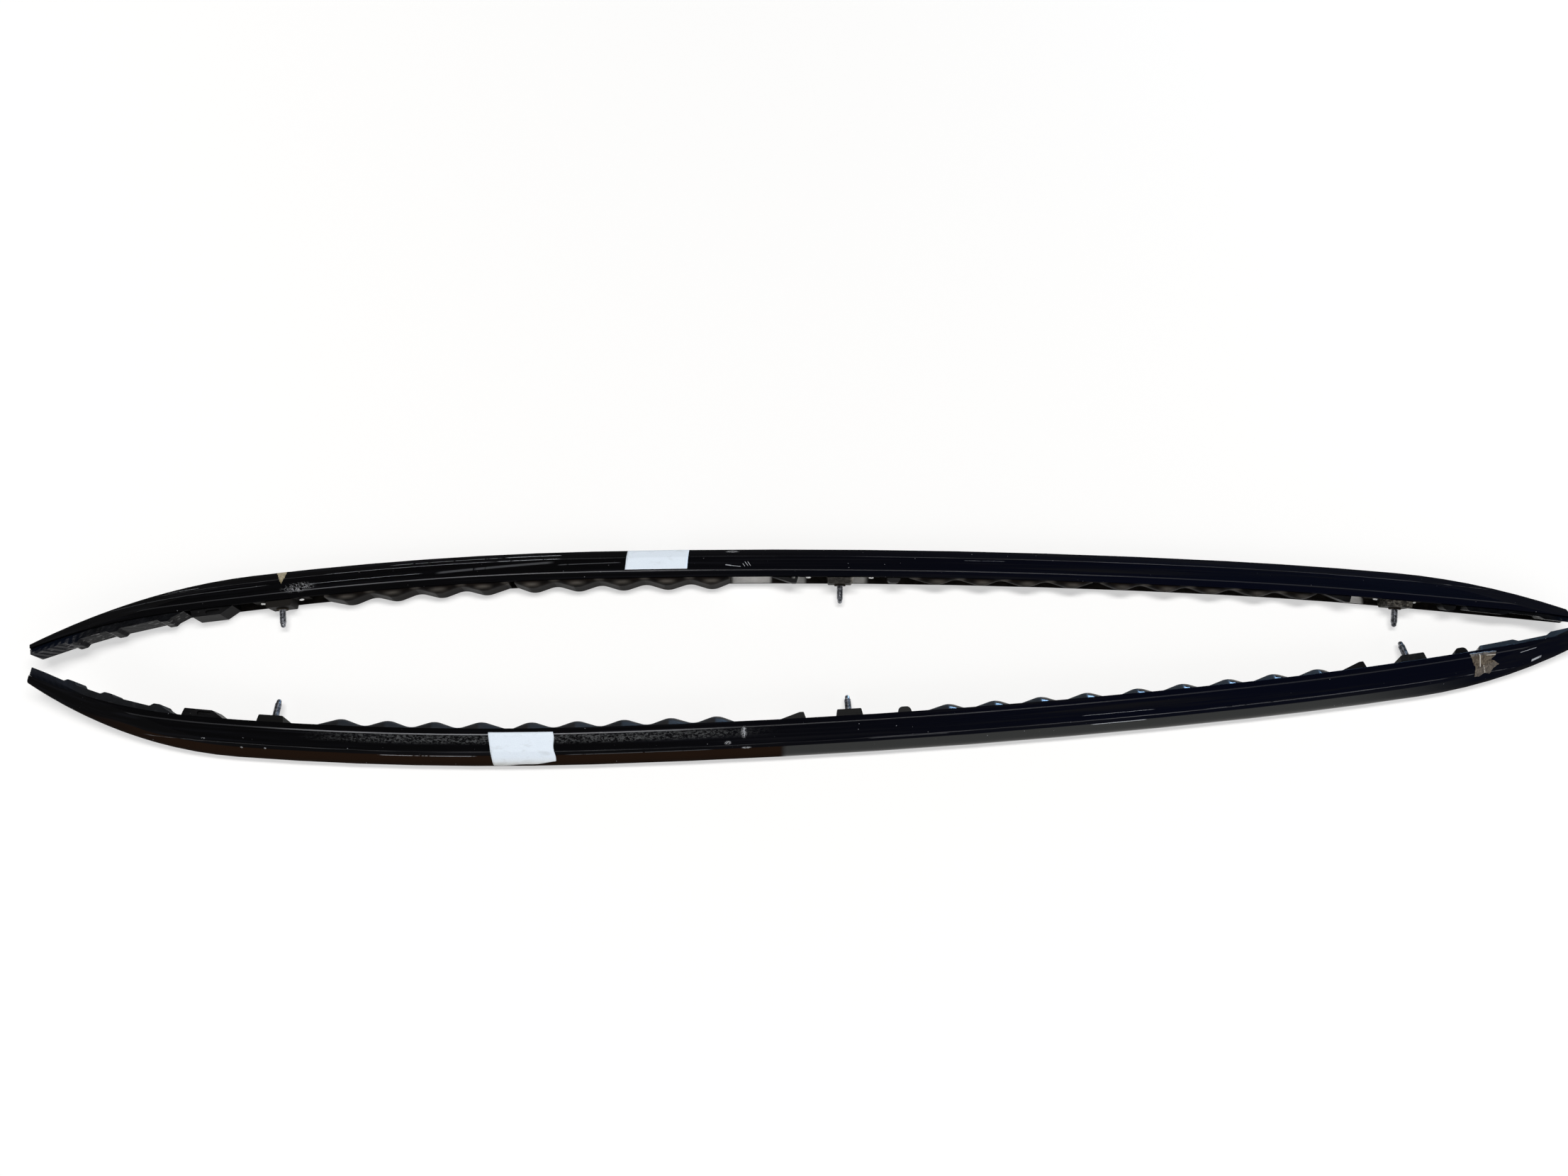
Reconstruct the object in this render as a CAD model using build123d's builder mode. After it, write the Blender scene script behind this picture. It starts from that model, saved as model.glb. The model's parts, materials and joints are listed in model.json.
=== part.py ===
"""Roof side rail pair: two mirror-image bent rails lying on their sides, undersides facing each other.

Stations run along a rail's crease line from its middle stud, negative to the front end.
Heights are measured square to that line, positive towards the crown, and widths run up from the floor.
"""
from build123d import *
import math
import os

# Rail section
RAIL_WIDTH = 34.0
SIDE_SLOPE = 20.0
CREASE_RADIUS = 1.2
FLANGE_HEIGHT = 7.5
FLANGE_INSET = 2.0
LIP_RADIUS = 0.8
CROWN_RISE = 33.5
CROWN_RADIUS = 12.0
CROWN_AXIS = 10.5
SHOULDER_SLOPE = 36.5
WALL = 3.0
WEB_LEVEL = 2.0
WEB_THICKNESS = 2.5

# Rail line: a long middle arc with tighter arcs towards the ends
MID_RADIUS = 10050.0
FRONT_RADIUS = 4000.0
NOSE_RADIUS = 617.0
REAR_RADIUS = 5300.0
FRONT_BEND = 307.0
REAR_BEND = 481.0
FRONT_REACH = 986.0
REAR_REACH = 893.0
NOSE_LENGTH = 186.0

# Crown line: level with the rail line, then falling to the tips, with both ends lifting off the floor
FRONT_TAPER = 260.0
FRONT_FALL_RADIUS = 540.0
FRONT_LIFT_RADIUS = 1150.0
REAR_TAPER = 203.0
REAR_FALL_RADIUS = 696.0
REAR_LIFT_RADIUS = 2600.0
NOSE_WALL = 9.0
ENVELOPE_DEPTH = 75.0

# Fits
SIDE_GAP = 0.3
SEAT_GAP = 0.25
STUD_GAP = 0.15
SCREW_GAP = 0.2

# Wavy strips
HUMP_PITCH = 55.5
HUMP_RADIUS = 24.0
CREST_DEPTH = 17.6
TROUGH_DEPTH = 8.4
SHORT_RUN_OUT = 30.0
LONG_RUN_OUT = 22.0
REAR_SKEW = 5.0
REAR_TILT = 18.0
UPPER_RIM_RADIUS = 5.0
FLOOR_RIM_RADIUS = 2.2

# Studs and feet, the outer ones at a distance from the tips
FRONT_STUD_INSET = 296.5
REAR_STUD_INSET = 206.0
FRONT_STUD_TILT = 6.0
STUD_TILT = 12.5
STUD_RADIUS = 4.0
STUD_SHANK_RADIUS = 4.5
STUD_WIDTH = 15.0
STUD_DEPTH = 40.0
STUD_POINT = 4.0
STUD_POINT_RADIUS = 2.9
STUD_ROOT = 2.0
FOOT_HALF = 34.0
MID_FOOT_HALF = 50.0
FOOT_LEVEL = 5.5
BOSS_LENGTH = 29.0
BOSS_LEVEL = 16.0
BOSS_DRAFT = 2.0
BOSS_EDGE = 1.5
SEAL_RADIUS = 7.0
SEAL_HEIGHT = 1.8
SCREW_INSET = 11.0
SCREW_RADIUS = 2.0
SCREW_HEAD_RADIUS = 3.6
SCREW_HEAD = 2.4
SCREW_REACH = 2.0

# Clips and small pads
CLIP_LENGTH = 50.0
CLIP_LEVEL = 16.5
CLIP_RAMP = 15.0
CLIP_POCKET = 3.0
SMALL_WIDTH = 15.0
RAMP_LENGTH = 32.0
RAMP_LEVEL = 15.5
RAMP_WALL = 2.4
ROUND_LENGTH = 17.0
ROUND_LEVEL = 14.5

# End pads: ribs by distance from the front tip and height, the dip by distances from the rear tip
FRONT_PAD_LEVEL = 18.5
FRONT_PAD_TAIL = 13.0
FRONT_PAD_RIBS = ((54.0, 3.5), (100.0, 3.0), (160.0, 3.5))
RIB_HALF = 8.0
REAR_PAD_LEVEL = 12.5
REAR_PAD_DIP = 9.5
REAR_DIP_START = 78.0
REAR_DIP_END = 37.0
PAD_CORNER = 3.0

# Free channel between neighbours, from the front to the rear
FRONT_PAD_SPACE = 8.0
CLIP_SPACE = 21.5
STRIP_END_SPACE = 5.0
FRONT_STRIP_SPACE = 7.0
FRONT_RUN_SPACE = 52.0
MID_RAMP_SPACE = 2.0
MID_ROUND_SPACE = 7.5
REAR_RUN_SPACE = 11.0
REAR_STRIP_SPACE = 9.5
REAR_RAMP_SPACE = 25.0
REAR_ROUND_SPACE = 17.5
REAR_PAD_SPACE = 11.5

# How the two rails lie, with gaps between their undersides at the tips
FRONT_TIP_GAP = 10.2
REAR_TIP_GAP = 8.5
TIP_SHIFT = 4.3
RIGHT_TURN = 0.3

# Stations that follow from the tips, the feet and the spaces
NOSE_BEND = FRONT_REACH - NOSE_LENGTH
FRONT_FALL = FRONT_REACH - FRONT_TAPER
REAR_FALL = REAR_REACH - REAR_TAPER
FRONT_STUD = FRONT_STUD_INSET - FRONT_REACH
REAR_STUD = REAR_REACH - REAR_STUD_INSET
CLIP_MID = FRONT_STUD - FOOT_HALF - CLIP_SPACE - CLIP_LENGTH / 2
FRONT_PAD_END = CLIP_MID - CLIP_LENGTH / 2 - FRONT_PAD_SPACE
MID_RAMP = -MID_FOOT_HALF - MID_RAMP_SPACE - RAMP_LENGTH / 2
MID_ROUND = MID_FOOT_HALF + MID_ROUND_SPACE + ROUND_LENGTH / 2
REAR_RAMP = REAR_STUD - FOOT_HALF - REAR_RAMP_SPACE - RAMP_LENGTH / 2
REAR_ROUND = REAR_STUD + FOOT_HALF + REAR_ROUND_SPACE + ROUND_LENGTH / 2
REAR_PAD_START = REAR_ROUND + ROUND_LENGTH / 2 + REAR_PAD_SPACE

# Arcs from the middle outwards: how far each reaches, its radius and its curve off the floor
FRONT_ARCS = (
    (FRONT_BEND, MID_RADIUS, 0.0),
    (FRONT_FALL, FRONT_RADIUS, 0.0),
    (NOSE_BEND, FRONT_RADIUS, 1 / FRONT_LIFT_RADIUS),
    (2 * FRONT_REACH, NOSE_RADIUS, 1 / FRONT_LIFT_RADIUS),
)
REAR_ARCS = (
    (REAR_BEND, MID_RADIUS, 0.0),
    (REAR_FALL, REAR_RADIUS, 0.0),
    (2 * REAR_REACH, REAR_RADIUS, 1 / REAR_LIFT_RADIUS),
)
CHANNEL_TOP = RAIL_WIDTH - FLANGE_INSET - WALL
PIECE_BOTTOM = WALL + SIDE_GAP
PIECE_WIDTH = CHANNEL_TOP - WALL - 2 * SIDE_GAP
PIECE_TOP = PIECE_BOTTOM + PIECE_WIDTH
SEAT_LEVEL = SEAT_GAP - WEB_LEVEL
UP = Vector(0, 0, 1)


class Rail:
    """Where one rail lies: the crown points away from the other rail, so the left one is flipped."""

    def __init__(self, name, x, y, turn, flip):
        self.name = name
        self.home = Vector(x, y, 0)
        self.turn = turn
        self.flip = flip

    def frame(self, station):
        """Point of the rail line at a station, with the directions along it, to its crown and upwards."""
        side = 1 if station >= 0 else -1
        along = Vector(1, 0, 0).rotate(Axis.Z, self.turn)
        crown = Vector(0, self.flip, 0).rotate(Axis.Z, self.turn)
        point, up, start = self.home, UP, 0.0
        for reach, radius, lift in REAR_ARCS if side > 0 else FRONT_ARCS:
            run = min(abs(station), reach) - start
            bend = up * lift - crown / radius
            ahead = along * side
            angle = bend.length * run
            point += ahead * math.sin(angle) / bend.length
            point += bend.normalized() * (1 - math.cos(angle)) / bend.length
            hinge = Axis((0, 0, 0), ahead.cross(bend))
            along, crown, up = [v.rotate(hinge, math.degrees(angle)) for v in (along, crown, up)]
            start = reach
            if abs(station) <= reach:
                break
        return point, along, crown, up

    def spot(self, station, depth):
        """Point of the floor plan at a station, a depth below the crease line."""
        point, along, crown, up = self.frame(station)
        spot = point - crown * depth
        return spot.X, spot.Y

    def section_plane(self, station):
        """Plane across the rail: its x runs to the crown and its y up from the floor side."""
        point, along, crown, up = self.frame(station)
        return Plane(origin=point, x_dir=crown, z_dir=crown.cross(up))

    def drill_plane(self, station, depth, tilt):
        """Plane that faces out of the underside on the stud line, tilted towards the floor side."""
        point, along, crown, up = self.frame(station)
        middle = point - crown * tilted(depth, tilt) + up * STUD_WIDTH
        lean = math.radians(tilt)
        return Plane(origin=middle, x_dir=along, z_dir=-crown * math.cos(lean) - up * math.sin(lean))

    def bends(self, start, end):
        """Stretches of the rail line between two stations, each with its radius and lift."""
        marks = [-arc[0] for arc in FRONT_ARCS[-2::-1]] + [arc[0] for arc in REAR_ARCS[:-1]]
        arcs = [arc[1:] for arc in FRONT_ARCS[::-1]] + [arc[1:] for arc in REAR_ARCS[1:]]
        ends = [start] + [m for m in marks if start < m < end] + [end]
        return [(a, b, *arcs[sum((a + b) / 2 > m for m in marks)]) for a, b in zip(ends, ends[1:])]

    def carry(self, outline, station, radius, lift, run, height=0.0, mode=Mode.ADD):
        """Carry a section along an arc that has this radius at a height above the crease line."""
        point, along, crown, up = self.frame(station)
        bend = up * lift - crown / radius
        ahead = along if run > 0 else -along
        centre = point + crown * height + bend.normalized() / bend.length
        with BuildSketch(self.section_plane(station)) as section:
            add(outline)
        angle = math.degrees(bend.length * abs(run))
        revolve(section.sketch, Axis(centre, ahead.cross(bend)), angle, mode=mode)


def tilted(depth, tilt):
    """Depth on the stud line of a surface that has this depth at the channel's upper side."""
    return depth - (PIECE_TOP - STUD_WIDTH) * math.tan(math.radians(tilt))


def base_outline():
    """Rail section below the crown: floor side, sloped side, crease and flange."""
    peak = CROWN_RISE + CROWN_RADIUS
    slope = math.tan(math.radians(SIDE_SLOPE))
    with BuildSketch() as outline:
        with BuildLine():
            Polyline(
                (-FLANGE_HEIGHT, 0),
                (peak, 0),
                (peak, RAIL_WIDTH - peak * slope),
                (0, RAIL_WIDTH),
                (-FLANGE_HEIGHT, RAIL_WIDTH - FLANGE_INSET),
                close=True,
            )
        make_face()
        fillet(outline.vertices().sort_by(Axis.Y)[-1], CREASE_RADIUS)
        fillet(outline.vertices().group_by(Axis.X)[0], LIP_RADIUS)
    return outline.sketch


def crown_outline(inset):
    """Everything under the crown: round top, shoulder and floor side, moved inwards by an inset."""
    radius = CROWN_RADIUS - inset
    centre = Vector(CROWN_RISE - CROWN_RADIUS, CROWN_AXIS)
    shoulder = math.radians(SHOULDER_SLOPE)
    low = centre - Vector(0, radius)
    top = centre + Vector(radius, 0)
    high = centre + Vector(math.sin(shoulder), math.cos(shoulder)) * radius
    run = high.X + ENVELOPE_DEPTH
    with BuildSketch() as outline:
        with BuildLine():
            ThreePointArc(low, top, high)
            Polyline(
                high,
                (-ENVELOPE_DEPTH, high.Y + run * math.tan(shoulder)),
                (-ENVELOPE_DEPTH, low.Y),
                low,
            )
        make_face()
    return outline.sketch


def sweep_section(rail, start, end, outline, mode=Mode.ADD):
    """Carry a section along the rail line between two stations."""
    for first, last, radius, lift in rail.bends(start, end):
        rail.carry(outline, first, radius, lift, last - first, mode=mode)


def crown_envelope(rail, inset):
    """Solid under the crown line from tip to tip."""
    outline = crown_outline(inset)
    front_run = 1.25 * (FRONT_FALL - FRONT_REACH)
    rear_run = 1.25 * (REAR_REACH - REAR_FALL)
    with BuildPart() as envelope:
        sweep_section(rail, -FRONT_FALL, REAR_FALL, outline)
        rail.carry(outline, -FRONT_FALL, FRONT_FALL_RADIUS, 1 / FRONT_LIFT_RADIUS, front_run, CROWN_RISE)
        rail.carry(outline, REAR_FALL, REAR_FALL_RADIUS, 1 / REAR_LIFT_RADIUS, rear_run, CROWN_RISE)
    return envelope.part


def channel_outline():
    """Open channel below the web."""
    with BuildSketch() as outline:
        with BuildLine():
            Polyline(
                (-2 * FLANGE_HEIGHT, WALL),
                (WEB_LEVEL, WALL),
                (WEB_LEVEL, CHANNEL_TOP),
                (-2 * FLANGE_HEIGHT, CHANNEL_TOP),
                close=True,
            )
        make_face()
    return outline.sketch


def core_outline():
    """Hollow of the crown above the web, one wall inside the outer section."""
    floor = WEB_LEVEL + WEB_THICKNESS
    slope = math.tan(math.radians(SIDE_SLOPE))
    thick = WALL / math.cos(math.radians(SIDE_SLOPE))
    with BuildSketch() as outline:
        add(crown_outline(WALL))
        with BuildLine():
            Polyline(
                (floor, WALL),
                (CROWN_RISE, WALL),
                (CROWN_RISE, RAIL_WIDTH - thick - CROWN_RISE * slope),
                (floor, RAIL_WIDTH - thick - floor * slope),
                close=True,
            )
        make_face(mode=Mode.INTERSECT)
    return outline.sketch


def side_outline(rail, points, radius, sink):
    """Side view of a piece that seats on the web: its free outline is a rounded line of station and depth."""
    start, end = points[0][0], points[-1][0]
    free = [(station, depth - sink) for station, depth in points]
    with BuildSketch() as side:
        with BuildLine():
            FilletPolyline(*[rail.spot(*place) for place in free], radius=radius)
            Line(rail.spot(*free[-1]), rail.spot(end, SEAT_LEVEL))
            for first, last, *arc in reversed(rail.bends(start, end)):
                middle = rail.spot((first + last) / 2, SEAT_LEVEL)
                ThreePointArc(rail.spot(last, SEAT_LEVEL), middle, rail.spot(first, SEAT_LEVEL))
            Line(rail.spot(start, SEAT_LEVEL), rail.spot(*free[0]))
        make_face()
    return side.sketch


def pad_body(rail, points, radius, tilt=0.0, low=PIECE_BOTTOM, high=PIECE_TOP):
    """Piece with this side view at the channel's upper side, its underside tilted towards the floor side."""
    slope = math.tan(math.radians(tilt))
    with BuildSketch(Plane.XY.offset(low)) as floor_side:
        add(side_outline(rail, points, radius, (PIECE_TOP - low) * slope))
    with BuildSketch(Plane.XY.offset(high)) as upper_side:
        add(side_outline(rail, points, radius, (PIECE_TOP - high) * slope))
    if tilt:
        loft([floor_side.sketch, upper_side.sketch], ruled=True)
    else:
        extrude(floor_side.sketch, high - low)


def filler_outline():
    """Section that fills the channel, with its gaps, and runs out below it."""
    with BuildSketch() as outline:
        with BuildLine():
            Polyline(
                (-ENVELOPE_DEPTH, PIECE_BOTTOM),
                (-SEAT_LEVEL, PIECE_BOTTOM),
                (-SEAT_LEVEL, PIECE_TOP),
                (-ENVELOPE_DEPTH, PIECE_TOP),
                close=True,
            )
        make_face()
    return outline.sketch


def lifted_body(rail, points, radius, tilt=0.0):
    """Piece in the channel of a lifted end: its side view cut out of a filler that follows the channel."""
    with BuildPart() as filler:
        sweep_section(rail, points[0][0] - WALL, points[-1][0] + WALL, filler_outline())
    rise = max(rail.frame(station)[0].Z for station, depth in points)
    pad_body(rail, points, radius, tilt, PIECE_BOTTOM, PIECE_TOP + 2 * rise)
    add(filler.part, mode=Mode.INTERSECT)


def round_rims(piece):
    """Round a moulded piece on its upper and floor sides, apart from its seat's long arcs."""
    for side, radius in ((-1, UPPER_RIM_RADIUS), (0, FLOOR_RIM_RADIUS)):
        rim = piece.faces().sort_by(Axis.Z)[side].edges()
        fillet(rim.filter_by(lambda e: e.geom_type != GeomType.CIRCLE or e.radius < NOSE_RADIUS / 2), radius)


def foot_places():
    """Name, station, half length and tilt of each foot, with the stations of its two screws."""
    feet = (
        ("front", FRONT_STUD, FOOT_HALF, FRONT_STUD_TILT),
        ("mid", 0.0, MID_FOOT_HALF, STUD_TILT),
        ("rear", REAR_STUD, FOOT_HALF, STUD_TILT),
    )
    return [(n, s, h, tilt, (s - h + SCREW_INSET, s + h - SCREW_INSET)) for n, s, h, tilt in feet]


def make_bar(rail):
    """Bent extrusion: sloped side, round crown falling to the tips, open channel and hollow crown."""
    with BuildPart() as channel:
        sweep_section(rail, NOSE_WALL - FRONT_REACH, REAR_REACH - NOSE_WALL, channel_outline())
        add(crown_envelope(rail, WALL), mode=Mode.INTERSECT)
    with BuildPart() as bar:
        sweep_section(rail, -FRONT_REACH, REAR_REACH, base_outline())
        add(crown_envelope(rail, 0.0), mode=Mode.INTERSECT)
        add(channel.part, mode=Mode.SUBTRACT)
        sweep_section(rail, NOSE_WALL - FRONT_FALL, REAR_FALL - NOSE_WALL, core_outline(), mode=Mode.SUBTRACT)
        for name, station, half, tilt, screws in foot_places():
            with Locations(*[rail.drill_plane(s, FOOT_LEVEL, tilt) for s in screws]):
                Hole(SCREW_RADIUS + SCREW_GAP, screw_reach(tilt) + SEAT_GAP)
    return bar


def screw_reach(tilt):
    """Length of a screw from the foot's face to its end above the web."""
    deep = tilted(FOOT_LEVEL, tilt) + WEB_LEVEL + WEB_THICKNESS
    return deep / math.cos(math.radians(tilt)) + SCREW_REACH


def strip_length(humps, run_out):
    """Length of a wavy strip with run-outs past its first and last crests."""
    return (humps - 1) * HUMP_PITCH + 2 * run_out


def strip_humps(room):
    """Hump counts of a long and a short strip that share a free length of channel."""
    steps = math.floor((room - strip_length(1, LONG_RUN_OUT) - strip_length(1, SHORT_RUN_OUT)) / HUMP_PITCH)
    return (steps + 3) // 2, (steps + 2) // 2


def make_strip(rail, start, humps, run_out, skew=0.0, tilt=0.0):
    """Wavy strip: humps at one pitch, their crests moved towards the rear by the skew."""
    points = [(start, TROUGH_DEPTH)]
    for hump in range(humps):
        crest = start + run_out + hump * HUMP_PITCH
        points.append((crest + skew, CREST_DEPTH))
        points.append((crest + HUMP_PITCH / 2, TROUGH_DEPTH))
    points[-1] = (start + strip_length(humps, run_out), TROUGH_DEPTH)
    with BuildPart() as strip:
        pad_body(rail, points, HUMP_RADIUS, tilt)
        round_rims(strip)
    return strip


def make_foot(rail, station, half, tilt, screws):
    """Cast foot: a plate in the channel with a raised boss."""
    nose, tail = station - BOSS_LENGTH / 2, station + BOSS_LENGTH / 2
    points = [
        (station - half, FOOT_LEVEL),
        (nose - BOSS_DRAFT, FOOT_LEVEL),
        (nose, BOSS_LEVEL),
        (tail, BOSS_LEVEL),
        (tail + BOSS_DRAFT, FOOT_LEVEL),
        (station + half, FOOT_LEVEL),
    ]
    with BuildPart() as foot:
        pad_body(rail, points, BOSS_EDGE, tilt)
        with Locations(rail.drill_plane(station, BOSS_LEVEL, tilt)):
            Hole(STUD_SHANK_RADIUS + STUD_GAP, BOSS_LEVEL - STUD_ROOT)
        with Locations(*[rail.drill_plane(s, FOOT_LEVEL, tilt) for s in screws]):
            Hole(SCREW_RADIUS + SCREW_GAP)
    return foot


def make_stud(rail, station, tilt):
    """M8 stud with a dog point, its plain shank set square into the boss."""
    boss = rail.drill_plane(station, BOSS_LEVEL, tilt)
    root = SEAT_GAP + STUD_ROOT - BOSS_LEVEL
    tip = STUD_DEPTH - BOSS_LEVEL
    neck = tip - STUD_POINT
    step = STUD_RADIUS - STUD_POINT_RADIUS
    with BuildPart() as stud:
        with BuildSketch(Plane(origin=boss.origin, x_dir=boss.x_dir, z_dir=-boss.y_dir)) as half:
            with BuildLine():
                Polyline(
                    (0, tip),
                    (0, root),
                    (STUD_SHANK_RADIUS, root),
                    (STUD_SHANK_RADIUS, SEAT_GAP + SEAL_HEIGHT),
                    (STUD_RADIUS, SEAT_GAP + SEAL_HEIGHT),
                    (STUD_RADIUS, neck - step),
                    (STUD_POINT_RADIUS, neck),
                    (STUD_POINT_RADIUS, tip - STUD_POINT_RADIUS),
                )
                RadiusArc((0, tip), (STUD_POINT_RADIUS, tip - STUD_POINT_RADIUS), STUD_POINT_RADIUS)
            make_face()
        revolve(half.sketch, Axis(boss.origin, boss.z_dir))
    return stud


def make_seal(rail, station, tilt):
    """Soft ring round a stud, on the boss."""
    with BuildPart() as seal:
        with BuildSketch(rail.drill_plane(station, BOSS_LEVEL, tilt).offset(SEAT_GAP)):
            Circle(SEAL_RADIUS)
            Circle(STUD_SHANK_RADIUS + STUD_GAP, mode=Mode.SUBTRACT)
        extrude(amount=SEAL_HEIGHT)
    return seal


def make_screws(rail):
    """Pan-head screws of the three feet, through the feet and the web."""
    with BuildPart() as screws:
        for name, station, half, tilt, places in foot_places():
            for place in places:
                plane = rail.drill_plane(place, FOOT_LEVEL, tilt).offset(SEAT_GAP)
                with BuildSketch(plane) as head:
                    Circle(SCREW_HEAD_RADIUS)
                extrude(head.sketch, SCREW_HEAD)
                with BuildSketch(plane) as shank:
                    Circle(SCREW_RADIUS)
                extrude(shank.sketch, -screw_reach(tilt))
    return screws


def make_front_clip(rail):
    """Flat-topped block with a ramp at its rear and a slot-shaped pocket in its upper side."""
    start, end = CLIP_MID - CLIP_LENGTH / 2, CLIP_MID + CLIP_LENGTH / 2
    points = [
        (start, FLANGE_HEIGHT),
        (start + BOSS_DRAFT, CLIP_LEVEL),
        (end - CLIP_RAMP, CLIP_LEVEL),
        (end, FLANGE_HEIGHT),
    ]
    point, along, crown, up = rail.frame(CLIP_MID)
    middle = point - crown * (CLIP_LEVEL + FLANGE_HEIGHT) / 2 + up * PIECE_TOP
    with BuildPart() as clip:
        lifted_body(rail, points, BOSS_EDGE)
        with BuildSketch(Plane(origin=middle, x_dir=along, z_dir=up)) as pocket:
            SlotOverall(CLIP_LENGTH / 3, (CLIP_LEVEL - FLANGE_HEIGHT) / 2)
        extrude(pocket.sketch, CLIP_POCKET, both=True, mode=Mode.SUBTRACT)
    return clip


def make_ramp_clip(rail, middle, tilt):
    """Spring clip: a hollow ramp that rises to the rear and drops steeply."""
    start, end = middle - RAMP_LENGTH / 2, middle + RAMP_LENGTH / 2
    points = [
        (start, FLANGE_HEIGHT),
        (end - 3 * RAMP_WALL, RAMP_LEVEL),
        (end - RAMP_WALL, RAMP_LEVEL),
        (end, FLANGE_HEIGHT),
    ]
    with BuildPart() as clip:
        pad_body(rail, points, RAMP_WALL / 2, tilt, PIECE_TOP - SMALL_WIDTH)
        with BuildSketch(Plane.XY.offset(PIECE_TOP)) as hollow:
            add(side_outline(rail, points, RAMP_WALL / 2, SMALL_WIDTH * math.tan(math.radians(tilt))))
            offset(amount=-RAMP_WALL, mode=Mode.REPLACE)
        extrude(hollow.sketch, -SMALL_WIDTH, mode=Mode.SUBTRACT)
    return clip


def make_round_pad(rail, middle, tilt):
    """Half-round pad."""
    start, end = middle - ROUND_LENGTH / 2, middle + ROUND_LENGTH / 2
    points = [
        (start, FLANGE_HEIGHT),
        (start + BOSS_DRAFT, ROUND_LEVEL),
        (end - BOSS_DRAFT, ROUND_LEVEL),
        (end, FLANGE_HEIGHT),
    ]
    with BuildPart() as pad:
        pad_body(rail, points, ROUND_LENGTH / 3, tilt, PIECE_TOP - SMALL_WIDTH)
    return pad


def nose_outline():
    """Solid tip of the rail with the seat gap round it, taken out of an end pad."""
    with BuildSketch() as outline:
        with BuildLine():
            Polyline(
                (-FLANGE_HEIGHT - SEAT_GAP, -WALL),
                (CROWN_RISE, -WALL),
                (CROWN_RISE, RAIL_WIDTH + WALL),
                (-FLANGE_HEIGHT - SEAT_GAP, RAIL_WIDTH + WALL),
                close=True,
            )
        make_face()
    return outline.sketch


def make_end_pad(rail, points, nose_start, nose_end, tilt=0.0):
    """Moulded pad that fills the channel's tapered end and covers the tip's underside."""
    with BuildPart() as pad:
        lifted_body(rail, points, PAD_CORNER, tilt)
        add(crown_envelope(rail, WALL + SIDE_GAP), mode=Mode.INTERSECT)
        sweep_section(rail, nose_start, nose_end, nose_outline(), mode=Mode.SUBTRACT)
    return pad


def front_pad_points():
    """Underside of the front end pad: deep at the nose, ribbed, shallow at its rear end."""
    nose = NOSE_WALL / 4 - FRONT_REACH
    fall = (FRONT_PAD_TAIL - FRONT_PAD_LEVEL) / (FRONT_PAD_END - nose)
    points = [(nose, FLANGE_HEIGHT + PAD_CORNER), (nose + PAD_CORNER, FRONT_PAD_LEVEL)]
    for inset, rise in FRONT_PAD_RIBS:
        station = inset - FRONT_REACH
        depth = FRONT_PAD_LEVEL + fall * (station - nose)
        points += [
            (station - RIB_HALF, depth),
            (station - RIB_HALF / 2, depth + rise),
            (station + RIB_HALF / 2, depth + rise),
            (station + RIB_HALF, depth),
        ]
    return points + [(FRONT_PAD_END, FLANGE_HEIGHT)]


def rear_pad_points():
    """Underside of the rear end pad: a block, a dip and a raised tip."""
    tip = REAR_REACH - NOSE_WALL / 4
    dip_start = REAR_REACH - REAR_DIP_START
    dip_end = REAR_REACH - REAR_DIP_END
    return [
        (REAR_PAD_START, FLANGE_HEIGHT),
        (REAR_PAD_START + PAD_CORNER, REAR_PAD_LEVEL),
        (dip_start - PAD_CORNER, REAR_PAD_LEVEL),
        (dip_start + PAD_CORNER, REAR_PAD_DIP),
        (dip_end - PAD_CORNER, REAR_PAD_DIP),
        (dip_end + PAD_CORNER, REAR_PAD_LEVEL),
        (tip - PAD_CORNER, REAR_PAD_LEVEL),
        (tip, FLANGE_HEIGHT + PAD_CORNER),
    ]


def front_strips(rail):
    """Short and long strip between the front foot and the middle ramp clip, laid from the middle outwards."""
    end = MID_RAMP - RAMP_LENGTH / 2 - FRONT_RUN_SPACE
    room = end - FRONT_STUD - FOOT_HALF - FRONT_STRIP_SPACE - STRIP_END_SPACE
    long_humps, short_humps = strip_humps(room)
    long_start = end - strip_length(long_humps, LONG_RUN_OUT)
    short_start = long_start - FRONT_STRIP_SPACE - strip_length(short_humps, SHORT_RUN_OUT)
    return {
        "front_short_strip": make_strip(rail, short_start, short_humps, SHORT_RUN_OUT),
        "front_long_strip": make_strip(rail, long_start, long_humps, LONG_RUN_OUT),
    }


def rear_strips(rail):
    """Short and long strip between the middle round pad and the rear ramp clip, laid from the middle out."""
    start = MID_ROUND + ROUND_LENGTH / 2 + REAR_RUN_SPACE
    room = REAR_RAMP - RAMP_LENGTH / 2 - start - REAR_STRIP_SPACE - STRIP_END_SPACE
    long_humps, short_humps = strip_humps(room)
    long_start = start + strip_length(short_humps, SHORT_RUN_OUT) + REAR_STRIP_SPACE
    return {
        "rear_short_strip": make_strip(rail, start, short_humps, SHORT_RUN_OUT, REAR_SKEW, REAR_TILT),
        "rear_long_strip": make_strip(rail, long_start, long_humps, LONG_RUN_OUT, REAR_SKEW, REAR_TILT),
    }


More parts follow.
